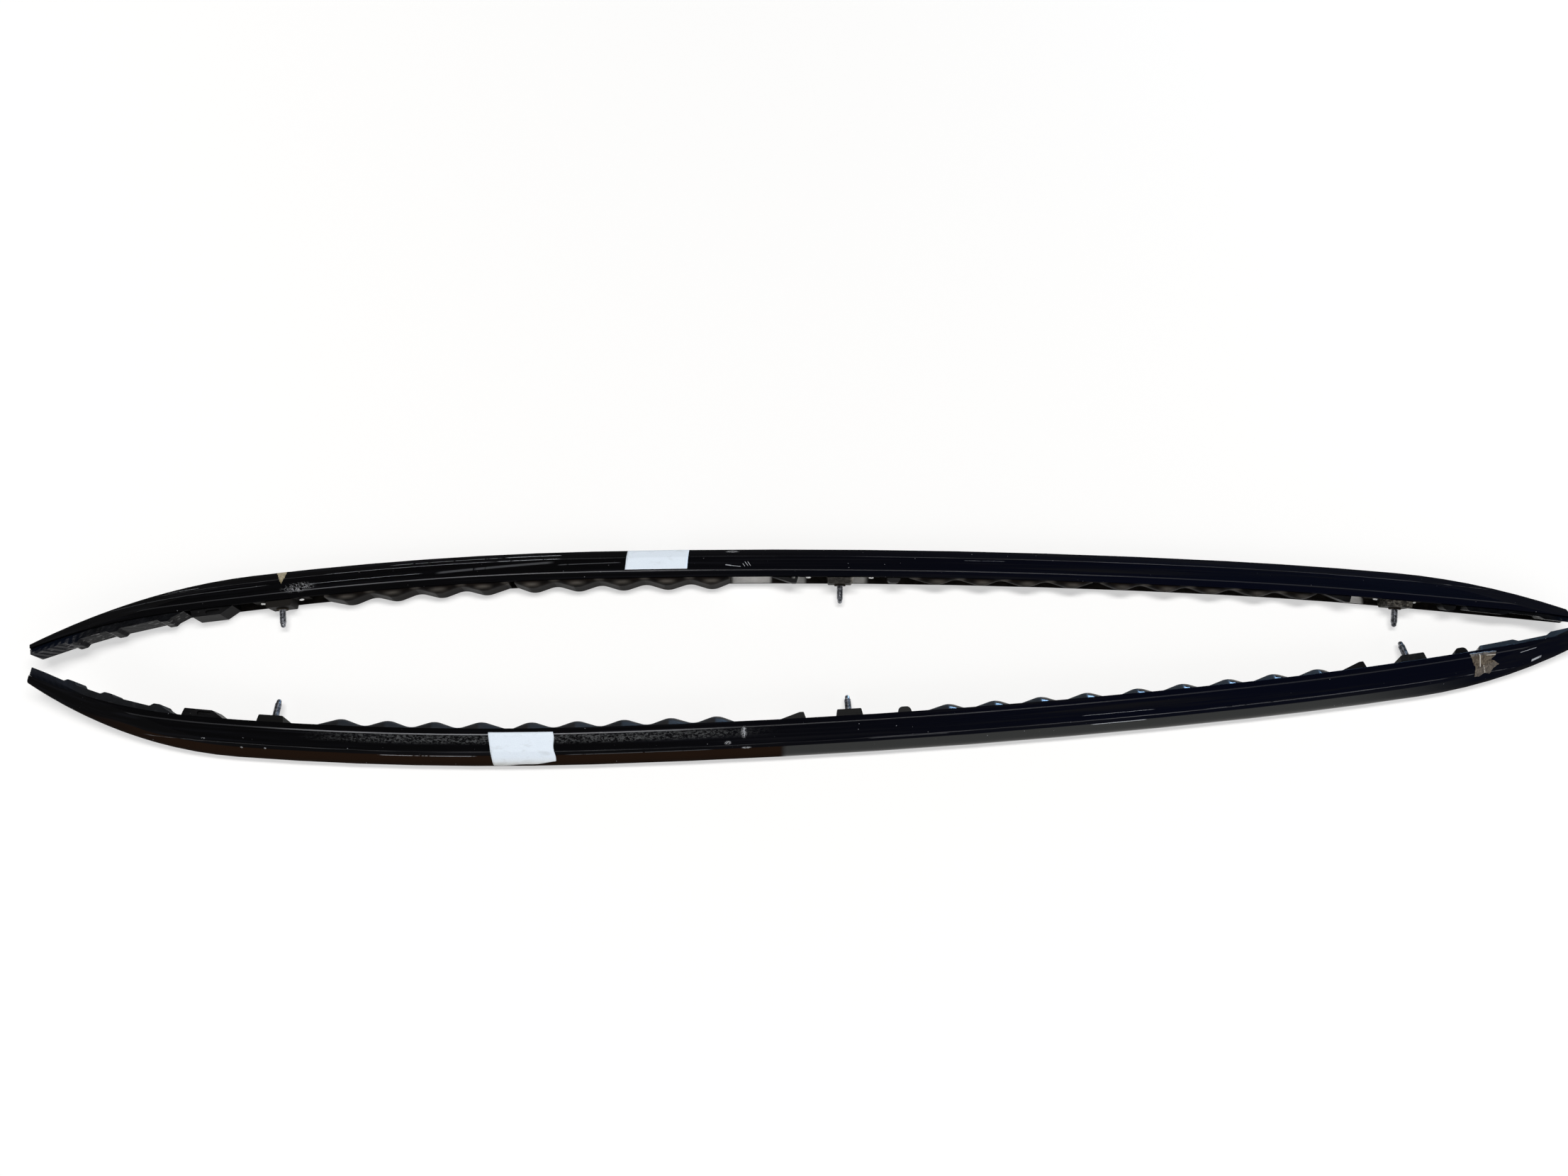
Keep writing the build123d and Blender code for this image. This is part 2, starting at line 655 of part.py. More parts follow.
def rail_pieces(rail):
    """All pieces of one rail, by name."""
    pieces = {
        "rail_bar": make_bar(rail),
        "front_end_pad": make_end_pad(
            rail, front_pad_points(), -FRONT_REACH - NOSE_WALL, NOSE_WALL + SIDE_GAP - FRONT_REACH
        ),
        "rear_end_pad": make_end_pad(
            rail, rear_pad_points(), REAR_REACH - NOSE_WALL - SIDE_GAP, REAR_REACH + NOSE_WALL, REAR_TILT
        ),
        "front_clip": make_front_clip(rail),
        **front_strips(rail),
        **rear_strips(rail),
        "mid_ramp_clip": make_ramp_clip(rail, MID_RAMP, STUD_TILT),
        "rear_ramp_clip": make_ramp_clip(rail, REAR_RAMP, REAR_TILT),
        "mid_round_pad": make_round_pad(rail, MID_ROUND, STUD_TILT),
        "rear_round_pad": make_round_pad(rail, REAR_ROUND, REAR_TILT),
        "foot_screws": make_screws(rail),
    }
    for name, station, half, tilt, screws in foot_places():
        pieces[name + "_foot"] = make_foot(rail, station, half, tilt, screws)
        pieces[name + "_stud"] = make_stud(rail, station, tilt)
        pieces[name + "_seal"] = make_seal(rail, station, tilt)
    return pieces


def lay_left_rail(right):
    """Left rail, turned and moved so that its tips keep their gaps to the right rail's tips."""
    square = Rail("left", 0.0, 0.0, 0.0, -1)
    front, rear = (-FRONT_REACH, FRONT_PAD_LEVEL), (REAR_REACH, REAR_PAD_LEVEL)
    own_front, own_rear = Vector(*square.spot(*front)), Vector(*square.spot(*rear))
    aim_front = Vector(*right.spot(*front)) + Vector(TIP_SHIFT, -FRONT_TIP_GAP)
    aim_rear = Vector(*right.spot(*rear)) + Vector(TIP_SHIFT, -REAR_TIP_GAP)
    own, aim = own_rear - own_front, aim_rear - aim_front
    turn = math.degrees(math.atan2(aim.Y, aim.X) - math.atan2(own.Y, own.X))
    home = aim_front - own_front.rotate(Axis.Z, turn)
    return Rail("left", home.X, home.Y, turn, -1)


right_rail = Rail("right", 0.0, 0.0, RIGHT_TURN, 1)
left_rail = lay_left_rail(right_rail)
pair = {}
for rail in (right_rail, left_rail):
    for name, piece in rail_pieces(rail).items():
        pair[f"{rail.name}_{name}"] = piece

# The pair's own frame: its origin is on the floor, under the middle of its outer box
boxes = [piece.part.bounding_box() for piece in pair.values()]
middle_x = (min(b.min.X for b in boxes) + max(b.max.X for b in boxes)) / 2
middle_y = (min(b.min.Y for b in boxes) + max(b.max.Y for b in boxes)) / 2
to_middle = Location((-middle_x, -middle_y, 0))

os.makedirs("parts", exist_ok=True)
for label, piece in pair.items():
    placed = piece.part.moved(to_middle)
    placed.label = label
    export_step(placed, f"parts/{label}.step")
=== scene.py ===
"""Studio picture of a pair of black roof side rails that lie on their sides on a pale floor."""
import json
import math

import bpy
from mathutils import Matrix, Vector, noise
from mathutils.bvhtree import BVHTree


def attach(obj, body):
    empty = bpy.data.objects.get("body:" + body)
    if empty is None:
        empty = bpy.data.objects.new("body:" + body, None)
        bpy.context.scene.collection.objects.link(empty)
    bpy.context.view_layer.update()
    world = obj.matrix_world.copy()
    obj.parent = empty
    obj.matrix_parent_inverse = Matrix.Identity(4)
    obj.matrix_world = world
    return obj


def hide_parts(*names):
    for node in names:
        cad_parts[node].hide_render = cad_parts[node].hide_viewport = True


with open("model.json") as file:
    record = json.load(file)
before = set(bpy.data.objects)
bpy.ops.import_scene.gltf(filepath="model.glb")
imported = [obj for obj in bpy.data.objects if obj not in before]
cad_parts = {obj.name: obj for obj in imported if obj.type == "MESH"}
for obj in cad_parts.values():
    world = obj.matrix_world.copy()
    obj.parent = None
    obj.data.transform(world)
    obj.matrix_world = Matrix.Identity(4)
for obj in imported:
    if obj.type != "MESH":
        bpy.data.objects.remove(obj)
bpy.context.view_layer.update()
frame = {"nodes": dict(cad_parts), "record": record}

nodes = frame["nodes"]
MM = 0.001

# The rail line, as the solids have it: arcs from the middle stud outwards, in millimetres,
# each with its reach, its radius in plan and how fast it lifts
FRONT_ARCS = (
    (307.0, 10050.0, 0.0),
    (726.0, 4000.0, 0.0),
    (800.0, 4000.0, 1 / 1150.0),
    (1972.0, 617.0, 1 / 1150.0),
)
REAR_ARCS = ((481.0, 10050.0, 0.0), (690.0, 5300.0, 0.0), (1786.0, 5300.0, 1 / 2600.0))
FRONT_TIP = -986.0
REAR_TIP = 893.0
RIGHT_HOME = Vector((36.413, 104.654, 0.0))
LEFT_HOME = Vector((47.700, -83.322, 0.0))
RIGHT_TURN = 0.3
LEFT_TURN = 4.2011
SIDE_SLOPE = math.radians(20.0)
SHOULDER_SLOPE = math.radians(36.5)
SHOULDER_START = 19.7

# Feet: station, half length and tilt, with the sizes that their screws take from them
FEET = ((-689.5, 34.0, 6.0), (0.0, 50.0, 12.5), (687.0, 34.0, 12.5))
SCREW_INSET = 11.0
STUD_WIDTH = 15.0
PIECE_TOP = 28.7
FOOT_LEVEL = 5.5
SEAT_GAP = 0.25

# Studs: M8 thread, with a plain shank in the boss and a round point
THREAD_PITCH = 1.25
THREAD_ROOT = 3.25
THREAD_FLAT = 0.12
THREAD_FLANK = 0.76
SHANK_RADIUS = 4.5
SHANK_LENGTH = 15.8
POINT_RADIUS = 2.9
POINT_STEP = 1.1
STUD_SIDES = 28
RINGS_PER_PITCH = 8
POINT_RINGS = 9
POINT_RING_TURN = 10

# Pan-head screws: the shank, the head's outline by radius and height, and the cross recess
SCREW_SIDES = 48
SCREW_SHANK = [(2.0, -9.0), (2.0, 0.0)]
PAN_EDGE = [
    (3.60, 0.0), (3.60, 0.75), (3.45, 1.25), (3.05, 1.75), (2.75, 1.98), (2.45, 2.12), (2.15, 2.22)
]
PAN_TOP = [(2.15 - 0.14 * k, 2.22 + 0.16 * k / 15) for k in range(1, 15)]
RECESS_ABOVE = 2.0
RECESS_HALF_WIDTH = 0.62
RECESS_WALL = 0.16
RECESS_REACH = 2.0
RECESS_END = 0.2
RECESS_DEPTH = 1.3
SCREW_TURN_BY_STATION = 0.4

# Humps of the wavy strips: spacing, and for each strip, by the station it starts from, how far
# its crests lie past a whole number of spacings
HUMP_PITCH = 55.5
STRIP_PHASES = ((-1000.0, 5.0), (-405.5, 8.5), (0.0, 9.5), (317.0, 15.5))

# The skin is felt out by rays towards a middle point, from the flange over the crown
SKIN_MIDDLE_CROWN = 10.0
SKIN_MIDDLE_UP = 14.0
SKIN_RAYS = 151
SKIN_FIRST_ANGLE = 133.0
SKIN_SWEEP = 218.0
SKIN_RAY_START = 80.0
LOCATE_STEPS = 4

# Curves that carry the rail line into the materials
CURVE_STEPS = 28
CURVE_MARGIN = 6.0


class RailLine:
    """Crease line of one rail: where a station is and which way the rail faces there."""

    def __init__(self, name, home, turn, flip):
        self.name = name
        self.home = home
        self.turn = Matrix.Rotation(math.radians(turn), 3, "Z")
        self.flip = flip
        bar = nodes[f"{name}_rail_bar"].data
        self.shell = BVHTree.FromPolygons(
            [v.co for v in bar.vertices], [p.vertices for p in bar.polygons]
        )

    def place(self, station):
        """Point on the crease line, with the directions along the rail, to its crown and up."""
        side = 1 if station >= 0 else -1
        along = self.turn @ Vector((1, 0, 0))
        crown = self.turn @ Vector((0, self.flip, 0))
        up = Vector((0, 0, 1))
        point, start = self.home.copy(), 0.0
        for reach, radius, lift in REAR_ARCS if side > 0 else FRONT_ARCS:
            run = min(abs(station), reach) - start
            bend = up * lift - crown / radius
            ahead = along * side
            angle = bend.length * run
            point += ahead * math.sin(angle) / bend.length
            point += bend.normalized() * (1 - math.cos(angle)) / bend.length
            turn = Matrix.Rotation(angle, 3, ahead.cross(bend))
            along, crown, up = turn @ along, turn @ crown, turn @ up
            start = reach
            if abs(station) <= reach:
                break
        return point, along, crown, up

    def locate(self, spot):
        """Station of a spot, with its heights to the crown and up from the crease line."""
        station = spot.x - self.home.x
        for _ in range(LOCATE_STEPS):
            point, along, _, _ = self.place(station)
            station += (spot - point).dot(along)
        point, _, crown, up = self.place(station)
        return station, (spot - point).dot(crown), (spot - point).dot(up)

    def drill(self, station, depth, tilt):
        """Place on the stud line and the direction out of the underside there."""
        point, _, crown, up = self.place(station)
        lean = math.radians(tilt)
        sunk = depth - (PIECE_TOP - STUD_WIDTH) * math.tan(lean)
        seat = point - crown * sunk + up * STUD_WIDTH
        return seat, -crown * math.cos(lean) - up * math.sin(lean)

    def skin(self, station):
        """Outline of the rail's outside at a station, by length over the skin from the crease."""
        point, _, crown, up = self.place(station)
        middle = point + crown * SKIN_MIDDLE_CROWN + up * SKIN_MIDDLE_UP
        line = []
        for step in range(SKIN_RAYS):
            angle = math.radians(SKIN_FIRST_ANGLE - SKIN_SWEEP * step / (SKIN_RAYS - 1))
            out = crown * math.cos(angle) + up * math.sin(angle)
            hit, normal = self.shell.ray_cast((middle + out * SKIN_RAY_START) * MM, -out)[:2]
            if hit is not None:
                line.append((hit / MM, normal))
        crease = max(range(len(line)), key=lambda k: line[k][0].dot(up))
        runs = [0.0]
        for (a, _), (b, _) in zip(line, line[1:]):
            runs.append(runs[-1] + (b - a).length)
        return [(run - runs[crease], spot, normal) for run, (spot, normal) in zip(runs, line)]


def on_skin(outline, girth, lift):
    """Point at a length along an outline of the skin, raised off it, in metres."""
    for (low, a, na), (high, b, nb) in zip(outline, outline[1:]):
        if girth <= high:
            share = max(0.0, (girth - low) / (high - low))
            return (a.lerp(b, share) + na.lerp(nb, share).normalized() * lift) * MM
    _, spot, normal = outline[-1]
    return (spot + normal * lift) * MM


right_rail = RailLine("right", RIGHT_HOME, RIGHT_TURN, 1)
left_rail = RailLine("left", LEFT_HOME, LEFT_TURN, -1)
RAILS = (right_rail, left_rail)


# Node helpers
def fill_inputs(tree, made, inputs):
    """Set or link a node's inputs, by name or number."""
    for key, value in dict(inputs).items():
        if isinstance(value, bpy.types.NodeSocket):
            tree.links.new(value, made.inputs[key])
        else:
            made.inputs[key].default_value = value


def put(tree, kind, inputs=(), **settings):
    """Add a node."""
    made = tree.nodes.new(kind)
    for name, value in settings.items():
        setattr(made, name, value)
    fill_inputs(tree, made, inputs)
    return made


def use(tree, group, inputs=()):
    """Place a group and return its outputs."""
    made = put(tree, "ShaderNodeGroup", node_tree=group)
    fill_inputs(tree, made, inputs)
    return made.outputs


def calc(tree, operation, *values, clamp=False):
    """One step of arithmetic."""
    made = put(tree, "ShaderNodeMath", enumerate(values), operation=operation, use_clamp=clamp)
    return made.outputs[0]


def scaled(tree, value, gain, offset, clamp=False):
    """A value times a gain, plus an offset."""
    return calc(tree, "MULTIPLY_ADD", value, gain, offset, clamp=clamp)


def times(tree, *values):
    """Product of several values."""
    total = values[0]
    for value in values[1:]:
        total = calc(tree, "MULTIPLY", total, value)
    return total


def largest(tree, *values):
    """Largest of several values."""
    total = values[0]
    for value in values[1:]:
        total = calc(tree, "MAXIMUM", total, value)
    return total


def soft_step(tree, value, low, high):
    """Smooth rise from 0 at low to 1 at high, or a fall where low is the larger."""
    limits = {0: value, 1: low, 2: high}
    return put(tree, "ShaderNodeMapRange", limits, interpolation_type="SMOOTHSTEP").outputs[0]


def span(tree, value, start, end, soft):
    """1 between two values, with soft ends."""
    rise = soft_step(tree, value, start - soft, start + soft)
    fall = soft_step(tree, value, end + soft, end - soft)
    return times(tree, rise, fall)


def tint(tree, factor, under, over):
    """Colour that goes from under to over."""
    return put(tree, "ShaderNodeMix", {0: factor, 6: under, 7: over}, data_type="RGBA").outputs[2]


def stretched(tree, spot, length, width):
    """Coordinates in which a cell is this long, and this wide crosswise and upwards."""
    sizes = {"Along": length, "Crown": width, "Up": width}
    parts = [calc(tree, "DIVIDE", spot[way], size) for way, size in sizes.items()]
    return put(tree, "ShaderNodeCombineXYZ", enumerate(parts)).outputs[0]


def clouds(tree, place, detail=2.0, rough=0.5, distort=0.0):
    """Noise with cells of about one unit of its coordinates."""
    values = {
        "Vector": place, "Scale": 1.0, "Detail": detail, "Roughness": rough, "Distortion": distort
    }
    return put(tree, "ShaderNodeTexNoise", values).outputs[0]


def effect_group(name, inputs, outputs):
    """Empty shader group with number inputs that have defaults, and number outputs."""
    tree = bpy.data.node_groups.new(name, "ShaderNodeTree")
    kind = "NodeSocketFloat"
    for label, value in inputs.items():
        socket = tree.interface.new_socket(label, in_out="INPUT", socket_type=kind)
        socket.default_value = value
    for label in outputs:
        tree.interface.new_socket(label, in_out="OUTPUT", socket_type=kind)
    given, result = tree.nodes.new("NodeGroupInput"), tree.nodes.new("NodeGroupOutput")
    return tree, given.outputs, result.inputs


SPOT = {"Along": 0.0, "Crown": 0.0, "Up": 0.0}


# Effects that several finishes use
def rail_coordinates(rail):
    """Group: millimetres along a rail's line, to its crown, up, and over its skin."""
    tree, _, result = effect_group(
        f"{rail.name}_rail_coordinates", {}, ("Along", "Crown", "Up", "Girth")
    )
    reach = REAR_TIP - FRONT_TIP + 2 * CURVE_MARGIN
    stations = [
        FRONT_TIP - CURVE_MARGIN + reach * k / CURVE_STEPS for k in range(CURVE_STEPS + 1)
    ]
    points = [rail.place(station)[0] for station in stations]
    first, last = points[0].x, points[-1].x
    where = tree.nodes.new("ShaderNodeTexCoord").outputs["Object"]
    x, y, z = put(tree, "ShaderNodeSeparateXYZ", {0: where}).outputs
    run = calc(tree, "SUBTRACT", calc(tree, "DIVIDE", x, MM), first)
    share = calc(tree, "DIVIDE", run, last - first)
    lines = []
    for values in (stations, [p.y for p in points], [p.z for p in points]):
        low, high = min(values), max(values)
        bend = put(tree, "ShaderNodeFloatCurve", {"Value": share})
        curve = bend.mapping.curves[0]
        for k, (p, value) in enumerate(zip(points, values)):
            knot = ((p.x - first) / (last - first), (value - low) / (high - low))
            if k in (0, len(points) - 1):
                curve.points[0 if k == 0 else -1].location = knot
            else:
                curve.points.new(*knot)
        bend.mapping.update()
        lines.append(scaled(tree, bend.outputs[0], high - low, low))
    along, level_y, level_z = lines
    off = calc(tree, "SUBTRACT", calc(tree, "DIVIDE", y, MM), level_y)
    crown = calc(tree, "MULTIPLY", off, float(rail.flip))
    up = calc(tree, "SUBTRACT", calc(tree, "DIVIDE", z, MM), level_z)
    past = calc(tree, "MAXIMUM", calc(tree, "SUBTRACT", crown, SHOULDER_START), 0.0)
    steeper = 1 / math.cos(SHOULDER_SLOPE) - 1 / math.cos(SIDE_SLOPE)
    sloped = calc(tree, "MULTIPLY", crown, 1 / math.cos(SIDE_SLOPE))
    tree.links.new(along, result["Along"])
    tree.links.new(crown, result["Crown"])
    tree.links.new(up, result["Up"])
    tree.links.new(scaled(tree, past, steeper, sloped), result["Girth"])
    return tree


def rail_grain():
    """Group: uneven tone in cells of a length and a width in millimetres."""
    shape = {"Length": 1.0, "Width": 1.0, "Detail": 2.0, "Roughness": 0.5, "Distortion": 0.0}
    tree, given, result = effect_group("rail_grain", {**SPOT, **shape}, ("Tone",))
    place = stretched(tree, given, given["Length"], given["Width"])
    tone = clouds(tree, place, given["Detail"], given["Roughness"], given["Distortion"])
    tree.links.new(tone, result["Tone"])
    return tree


def dust_specks():
    """Group: small specks scattered over cells, a share of which has one."""
    size = {"Cell": 9.0, "Size": 0.06, "Share": 0.3}
    tree, given, result = effect_group("dust_specks", {**SPOT, **size}, ("Mask",))
    place = stretched(tree, given, given["Cell"], given["Cell"])
    cells = put(tree, "ShaderNodeTexVoronoi", {"Vector": place, "Scale": 1.0}).outputs
    near = calc(tree, "LESS_THAN", cells["Distance"], given["Size"])
    chance = put(tree, "ShaderNodeSeparateColor", {0: cells["Color"]}).outputs[0]
    picked = calc(tree, "LESS_THAN", chance, given["Share"])
    tree.links.new(times(tree, near, picked), result["Mask"])
    return tree


def scuffed_patch():
    """Group: worn oval patch of fine slanted strokes and bare spots."""
    slant, stroke_stretch, line_core, bare_soft = 0.6, 3.0, 0.3, 0.06
    tree, given, result = effect_group(
        "scuffed_patch",
        {"Along": 0.0, "Girth": 0.0, "Middle": 0.0, "Level": 0.0, "Half length": 15.0,
         "Half width": 6.0, "Stroke": 2.0, "Line": 0.02, "Bare": 0.62},
        ("Mask",),
    )
    ahead = calc(tree, "SUBTRACT", given["Along"], given["Middle"])
    aside = calc(tree, "SUBTRACT", given["Girth"], given["Level"])
    far = calc(tree, "DIVIDE", ahead, given["Half length"])
    wide = calc(tree, "DIVIDE", aside, given["Half width"])
    reach = calc(tree, "SQRT", calc(tree, "ADD", times(tree, far, far), times(tree, wide, wide)))
    within = soft_step(tree, reach, 1.0, 0.35)
    place = put(tree, "ShaderNodeCombineXYZ", {0: given["Along"], 1: given["Girth"]}).outputs[0]
    turned = put(
        tree, "ShaderNodeVectorRotate", {"Vector": place, "Angle": slant}, rotation_type="Z_AXIS"
    )
    parts = put(tree, "ShaderNodeSeparateXYZ", {0: turned.outputs[0]}).outputs
    stroke_length = calc(tree, "MULTIPLY", given["Stroke"], stroke_stretch)
    length = calc(tree, "DIVIDE", parts[0], stroke_length)
    cross = calc(tree, "DIVIDE", parts[1], given["Stroke"])
    flat = put(tree, "ShaderNodeCombineXYZ", {0: length, 1: cross}).outputs[0]
    strokes = clouds(tree, flat, detail=4.0, rough=0.65, distort=1.2)
    off_line = calc(tree, "ABSOLUTE", calc(tree, "SUBTRACT", strokes, 0.5))
    core = calc(tree, "MULTIPLY", given["Line"], line_core)
    fine = soft_step(tree, off_line, given["Line"], core)
    bare = soft_step(tree, strokes, given["Bare"], calc(tree, "ADD", given["Bare"], bare_soft))
    tree.links.new(times(tree, within, largest(tree, fine, bare)), result["Mask"])
    return tree


def fine_scratch():
    """Group: one thin broken line from a start to an end, at a level that may rise along it."""
    break_length, break_soft, line_core = 9.0, 0.1, 0.3
    tree, given, result = effect_group(
        "fine_scratch",
        {"Run": 0.0, "Side": 0.0, "Start": 0.0, "End": 1.0, "Level": 0.0, "Rise": 0.0,
         "Width": 0.5, "Breaks": 0.33},
        ("Mask",),
    )
    length = calc(tree, "SUBTRACT", given["End"], given["Start"])
    share = calc(tree, "DIVIDE", calc(tree, "SUBTRACT", given["Run"], given["Start"]), length)
    level = scaled(tree, given["Rise"], share, given["Level"])
    aside = calc(tree, "ABSOLUTE", calc(tree, "SUBTRACT", given["Side"], level))
    core = calc(tree, "MULTIPLY", given["Width"], line_core)
    line = soft_step(tree, aside, given["Width"], core)
    ends = times(tree, soft_step(tree, share, 0.0, 0.08), soft_step(tree, share, 1.0, 0.92))
    run = calc(tree, "DIVIDE", given["Run"], break_length)
    place = put(tree, "ShaderNodeCombineXYZ", {0: run, 1: given["Level"]}).outputs[0]
    broken = clouds(tree, place, detail=3.0, rough=0.6)
    whole = calc(tree, "ADD", given["Breaks"], break_soft)
    kept = soft_step(tree, broken, given["Breaks"], whole)
    tree.links.new(times(tree, line, ends, kept), result["Mask"])
    return tree


def lengthwise_lines():
    """Group: long fine lines that run along the rail, as drawing and polishing leave them."""
    broad_by_fine = 5.0
    size = {"Length": 220.0, "Width": 0.9}
    tree, given, result = effect_group("lengthwise_lines", {**SPOT, **size}, ("Fine", "Broad"))
    fine = stretched(tree, given, given["Length"], given["Width"])
    tree.links.new(clouds(tree, fine, detail=3.0, rough=0.6), result["Fine"])
    wide = calc(tree, "MULTIPLY", given["Width"], broad_by_fine)
    broad = stretched(tree, given, given["Length"], wide)
    tree.links.new(clouds(tree, broad, detail=2.0, rough=0.5), result["Broad"])
    return tree


def strip_waves():
    """Group: how far a place on a wavy strip lies past the nearest crest, in millimetres."""
    tree, given, result = effect_group("strip_waves", {"Along": 0.0}, ("Past crest",))
    phase = STRIP_PHASES[0][1]
    for (_, before), (start, after) in zip(STRIP_PHASES, STRIP_PHASES[1:]):
        begun = calc(tree, "GREATER_THAN", given["Along"], start)
        phase = scaled(tree, begun, after - before, phase)
    turns = calc(tree, "DIVIDE", calc(tree, "SUBTRACT", given["Along"], phase), HUMP_PITCH)
    past = calc(tree, "SUBTRACT", calc(tree, "FRACT", calc(tree, "ADD", turns, 0.5)), 0.5)
    tree.links.new(calc(tree, "MULTIPLY", past, HUMP_PITCH), result["Past crest"])
    return tree


SPECKS = dust_specks()
WAVES = strip_waves()
PATCH = scuffed_patch()
SCRATCH = fine_scratch()
LINES = lengthwise_lines()
GRAIN = rail_grain()
COORDINATES = {rail.name: rail_coordinates(rail) for rail in RAILS}

# Colours, as red, green, blue and full cover
PAINT_BLACK = (0.0026, 0.0026, 0.0030, 1)
# Navy: a painted reflection of blue light, towards the rear
PAINTED_NAVY_REFLECTION = (0.0020, 0.0026, 0.0068, 1)
PAINT_DRAWN = (0.0058, 0.0060, 0.0078, 1)
# Painted reflections of the floor on the near rail's shoulder
PAINTED_BROWN_REFLECTION = (0.0125, 0.0062, 0.0034, 1)
PAINTED_GREY_REFLECTION = (0.0085, 0.0095, 0.0090, 1)
BAND_GLOSS = 0.66
SPECK_PALE = (0.32, 0.33, 0.36, 1)
CRAZED_GREY = (0.070, 0.073, 0.076, 1)
SMEAR_GREY = (0.11, 0.115, 0.125, 1)
SCUFF_PALE = (0.66, 0.68, 0.72, 1)
# Pale of the scratches, and of the painted highlight lines and glints among them
CUT_AND_GLINT_PALE = (0.52, 0.55, 0.60, 1)
# Painted highlight along the crease and the shoulder's ridge
EDGE_HIGHLIGHT_PALE = (0.42, 0.43, 0.46, 1)
CHANNEL_TONES = ((0.008, 0.0065, 0.0055, 1), (0.022, 0.018, 0.015, 1))
# Painted light in the channel's open runs, with drawn lines in it
LIT_GAP_TONES = ((0.80, 0.79, 0.77, 1), (0.94, 0.93, 0.92, 1))
LIT_GAP_LINES = (0.24, 0.22, 0.20, 1)
MOULDED_DUST = (0.35, 0.34, 0.33, 1)
STRIP_TONES = ((0.0034, 0.0030, 0.0030, 1), (0.0085, 0.0062, 0.0050, 1))
# Painted highlight on the far strips' crests and in their valleys
STRIP_PAINTED_HIGHLIGHT = (0.090, 0.082, 0.073, 1)
END_PAD_TONES = ((0.0022, 0.0024, 0.0030, 1), (0.0050, 0.0054, 0.0070, 1))
# Painted dark blue sheen near the end pads' tips
END_PAD_PAINTED_BLUE_SHEEN = (0.0035, 0.0060, 0.0140, 1)
CLIP_TONES = ((0.0030, 0.0030, 0.0034, 1), (0.0075, 0.0075, 0.0082, 1))
PAD_TONES = ((0.0030, 0.0030, 0.0034, 1), (0.0080, 0.0080, 0.0088, 1))
SEAL_TONES = ((0.022, 0.018, 0.015, 1), (0.070, 0.058, 0.046, 1))
SCREW_TONES = ((0.50, 0.50, 0.49, 1), (0.82, 0.82, 0.81, 1))
STUD_TONES = ((0.060, 0.064, 0.072, 1), (0.32, 0.33, 0.36, 1))
FOOT_TONES = {
    "right": ((0.010, 0.009, 0.008, 1), (0.105, 0.098, 0.086, 1), (0.36, 0.34, 0.31, 1)),
    "left": ((0.004, 0.004, 0.004, 1), (0.012, 0.011, 0.011, 1), (0.012, 0.011, 0.011, 1)),
}
PAPER_TONES = ((0.72, 0.80, 0.90, 1), (0.80, 0.88, 0.97, 1))
PAPER_SMUDGE = (0.52, 0.57, 0.62, 1)
PAPER_LOWER_TINT = (0.56, 0.52, 0.44, 1)
FAR_TAPE_TONES = ((0.20, 0.165, 0.095, 1), (0.40, 0.35, 0.23, 1))
NEAR_TAPE_TONES = ((0.045, 0.034, 0.026, 1), (0.14, 0.115, 0.086, 1))
TAPE_CREASE = (0.68, 0.66, 0.62, 1)

# Where the finishes change: soft limits along the rail, to the crown, up and over the skin
NAVY_REFLECTION_FROM = (-350.0, 450.0)
MAIN_FACE_TILT = (0.84, 0.89)
BAND_UP = (24.2, 23.6)
BAND_CROWN = (8.0, 12.0)
BAND_CHANGE = (-84.0, -74.0)
BROWN_FROM = (-975.0, -780.0)
GREY_UNTIL = (790.0, 560.0)
CREASE_HIGHLIGHT_RUN = (-650.0, -190.0, 70.0)
NEAR_CREASE_HIGHLIGHT = 0.6
FAR_CREASE_HIGHLIGHT = 0.3
CREASE_UP = (32.6, 33.2)
RIDGE_GIRTH = 21.0
RIDGE_UP = (20.0, 22.0)
CRAZED_ALONG = (-600.0, -140.0, 60.0)
CRAZED_GIRTH = (1.0, 10.5, 2.5)
LIT_GAP_RUNS = ((-134.0, -86.0, 3.0), (-58.0, -43.0, 3.0), (13.0, 33.0, 4.0), (629.0, 652.0, 3.0))
FOOT_PLATES = (15.0, 34.0, 4.0)
STAINED_FROM = (-300.0, -200.0)
REAR_FOOT_FROM = (300.0, 500.0)
FRONT_NOSE = (-905.0, -935.0)
REAR_NOSE = (862.0, 880.0)
PAD_GLINT = (758.0, 770.0, 3.0)
LOWER_TINT_UP = (24.0, 14.0)

# Facets of the wavy strips: their ridge lies ahead of the crest, and both sides fall from it
RIDGE_AHEAD = 3.0
RIDGE_ROUNDING = 1.0
FACET_FALL = 0.30
FACET_CROWN_SLOPE = 0.48

# The strips' polish past each near crest, and painted highlights on the far crests and in the far
# valleys
POLISH_RISE = (-3.5, 0.0)
POLISH_FADE = (21.0, 14.0)
POLISH_REARWARD = (-450.0, 120.0)
HIGHLIGHT_UP = (15.0, 24.0)
HIGHLIGHT_BY_CREST = (15.0, 1.0)
HIGHLIGHT_BY_VALLEY = (19.0, 27.0)
CREST_LINE = (-14.0, -10.5, 2.5)
VALLEY_LINE = (-9.0, -6.0, 1.5)

# Fine cross ribs on the end pads, in radians per millimetre, and the slant of the rear near pad
RIB_TURN_ALONG = 0.78
RIB_TURN_UP = 0.25
PAD_SLANT_CROWN = 1.2
PAD_SLANT_ALONG = 0.75


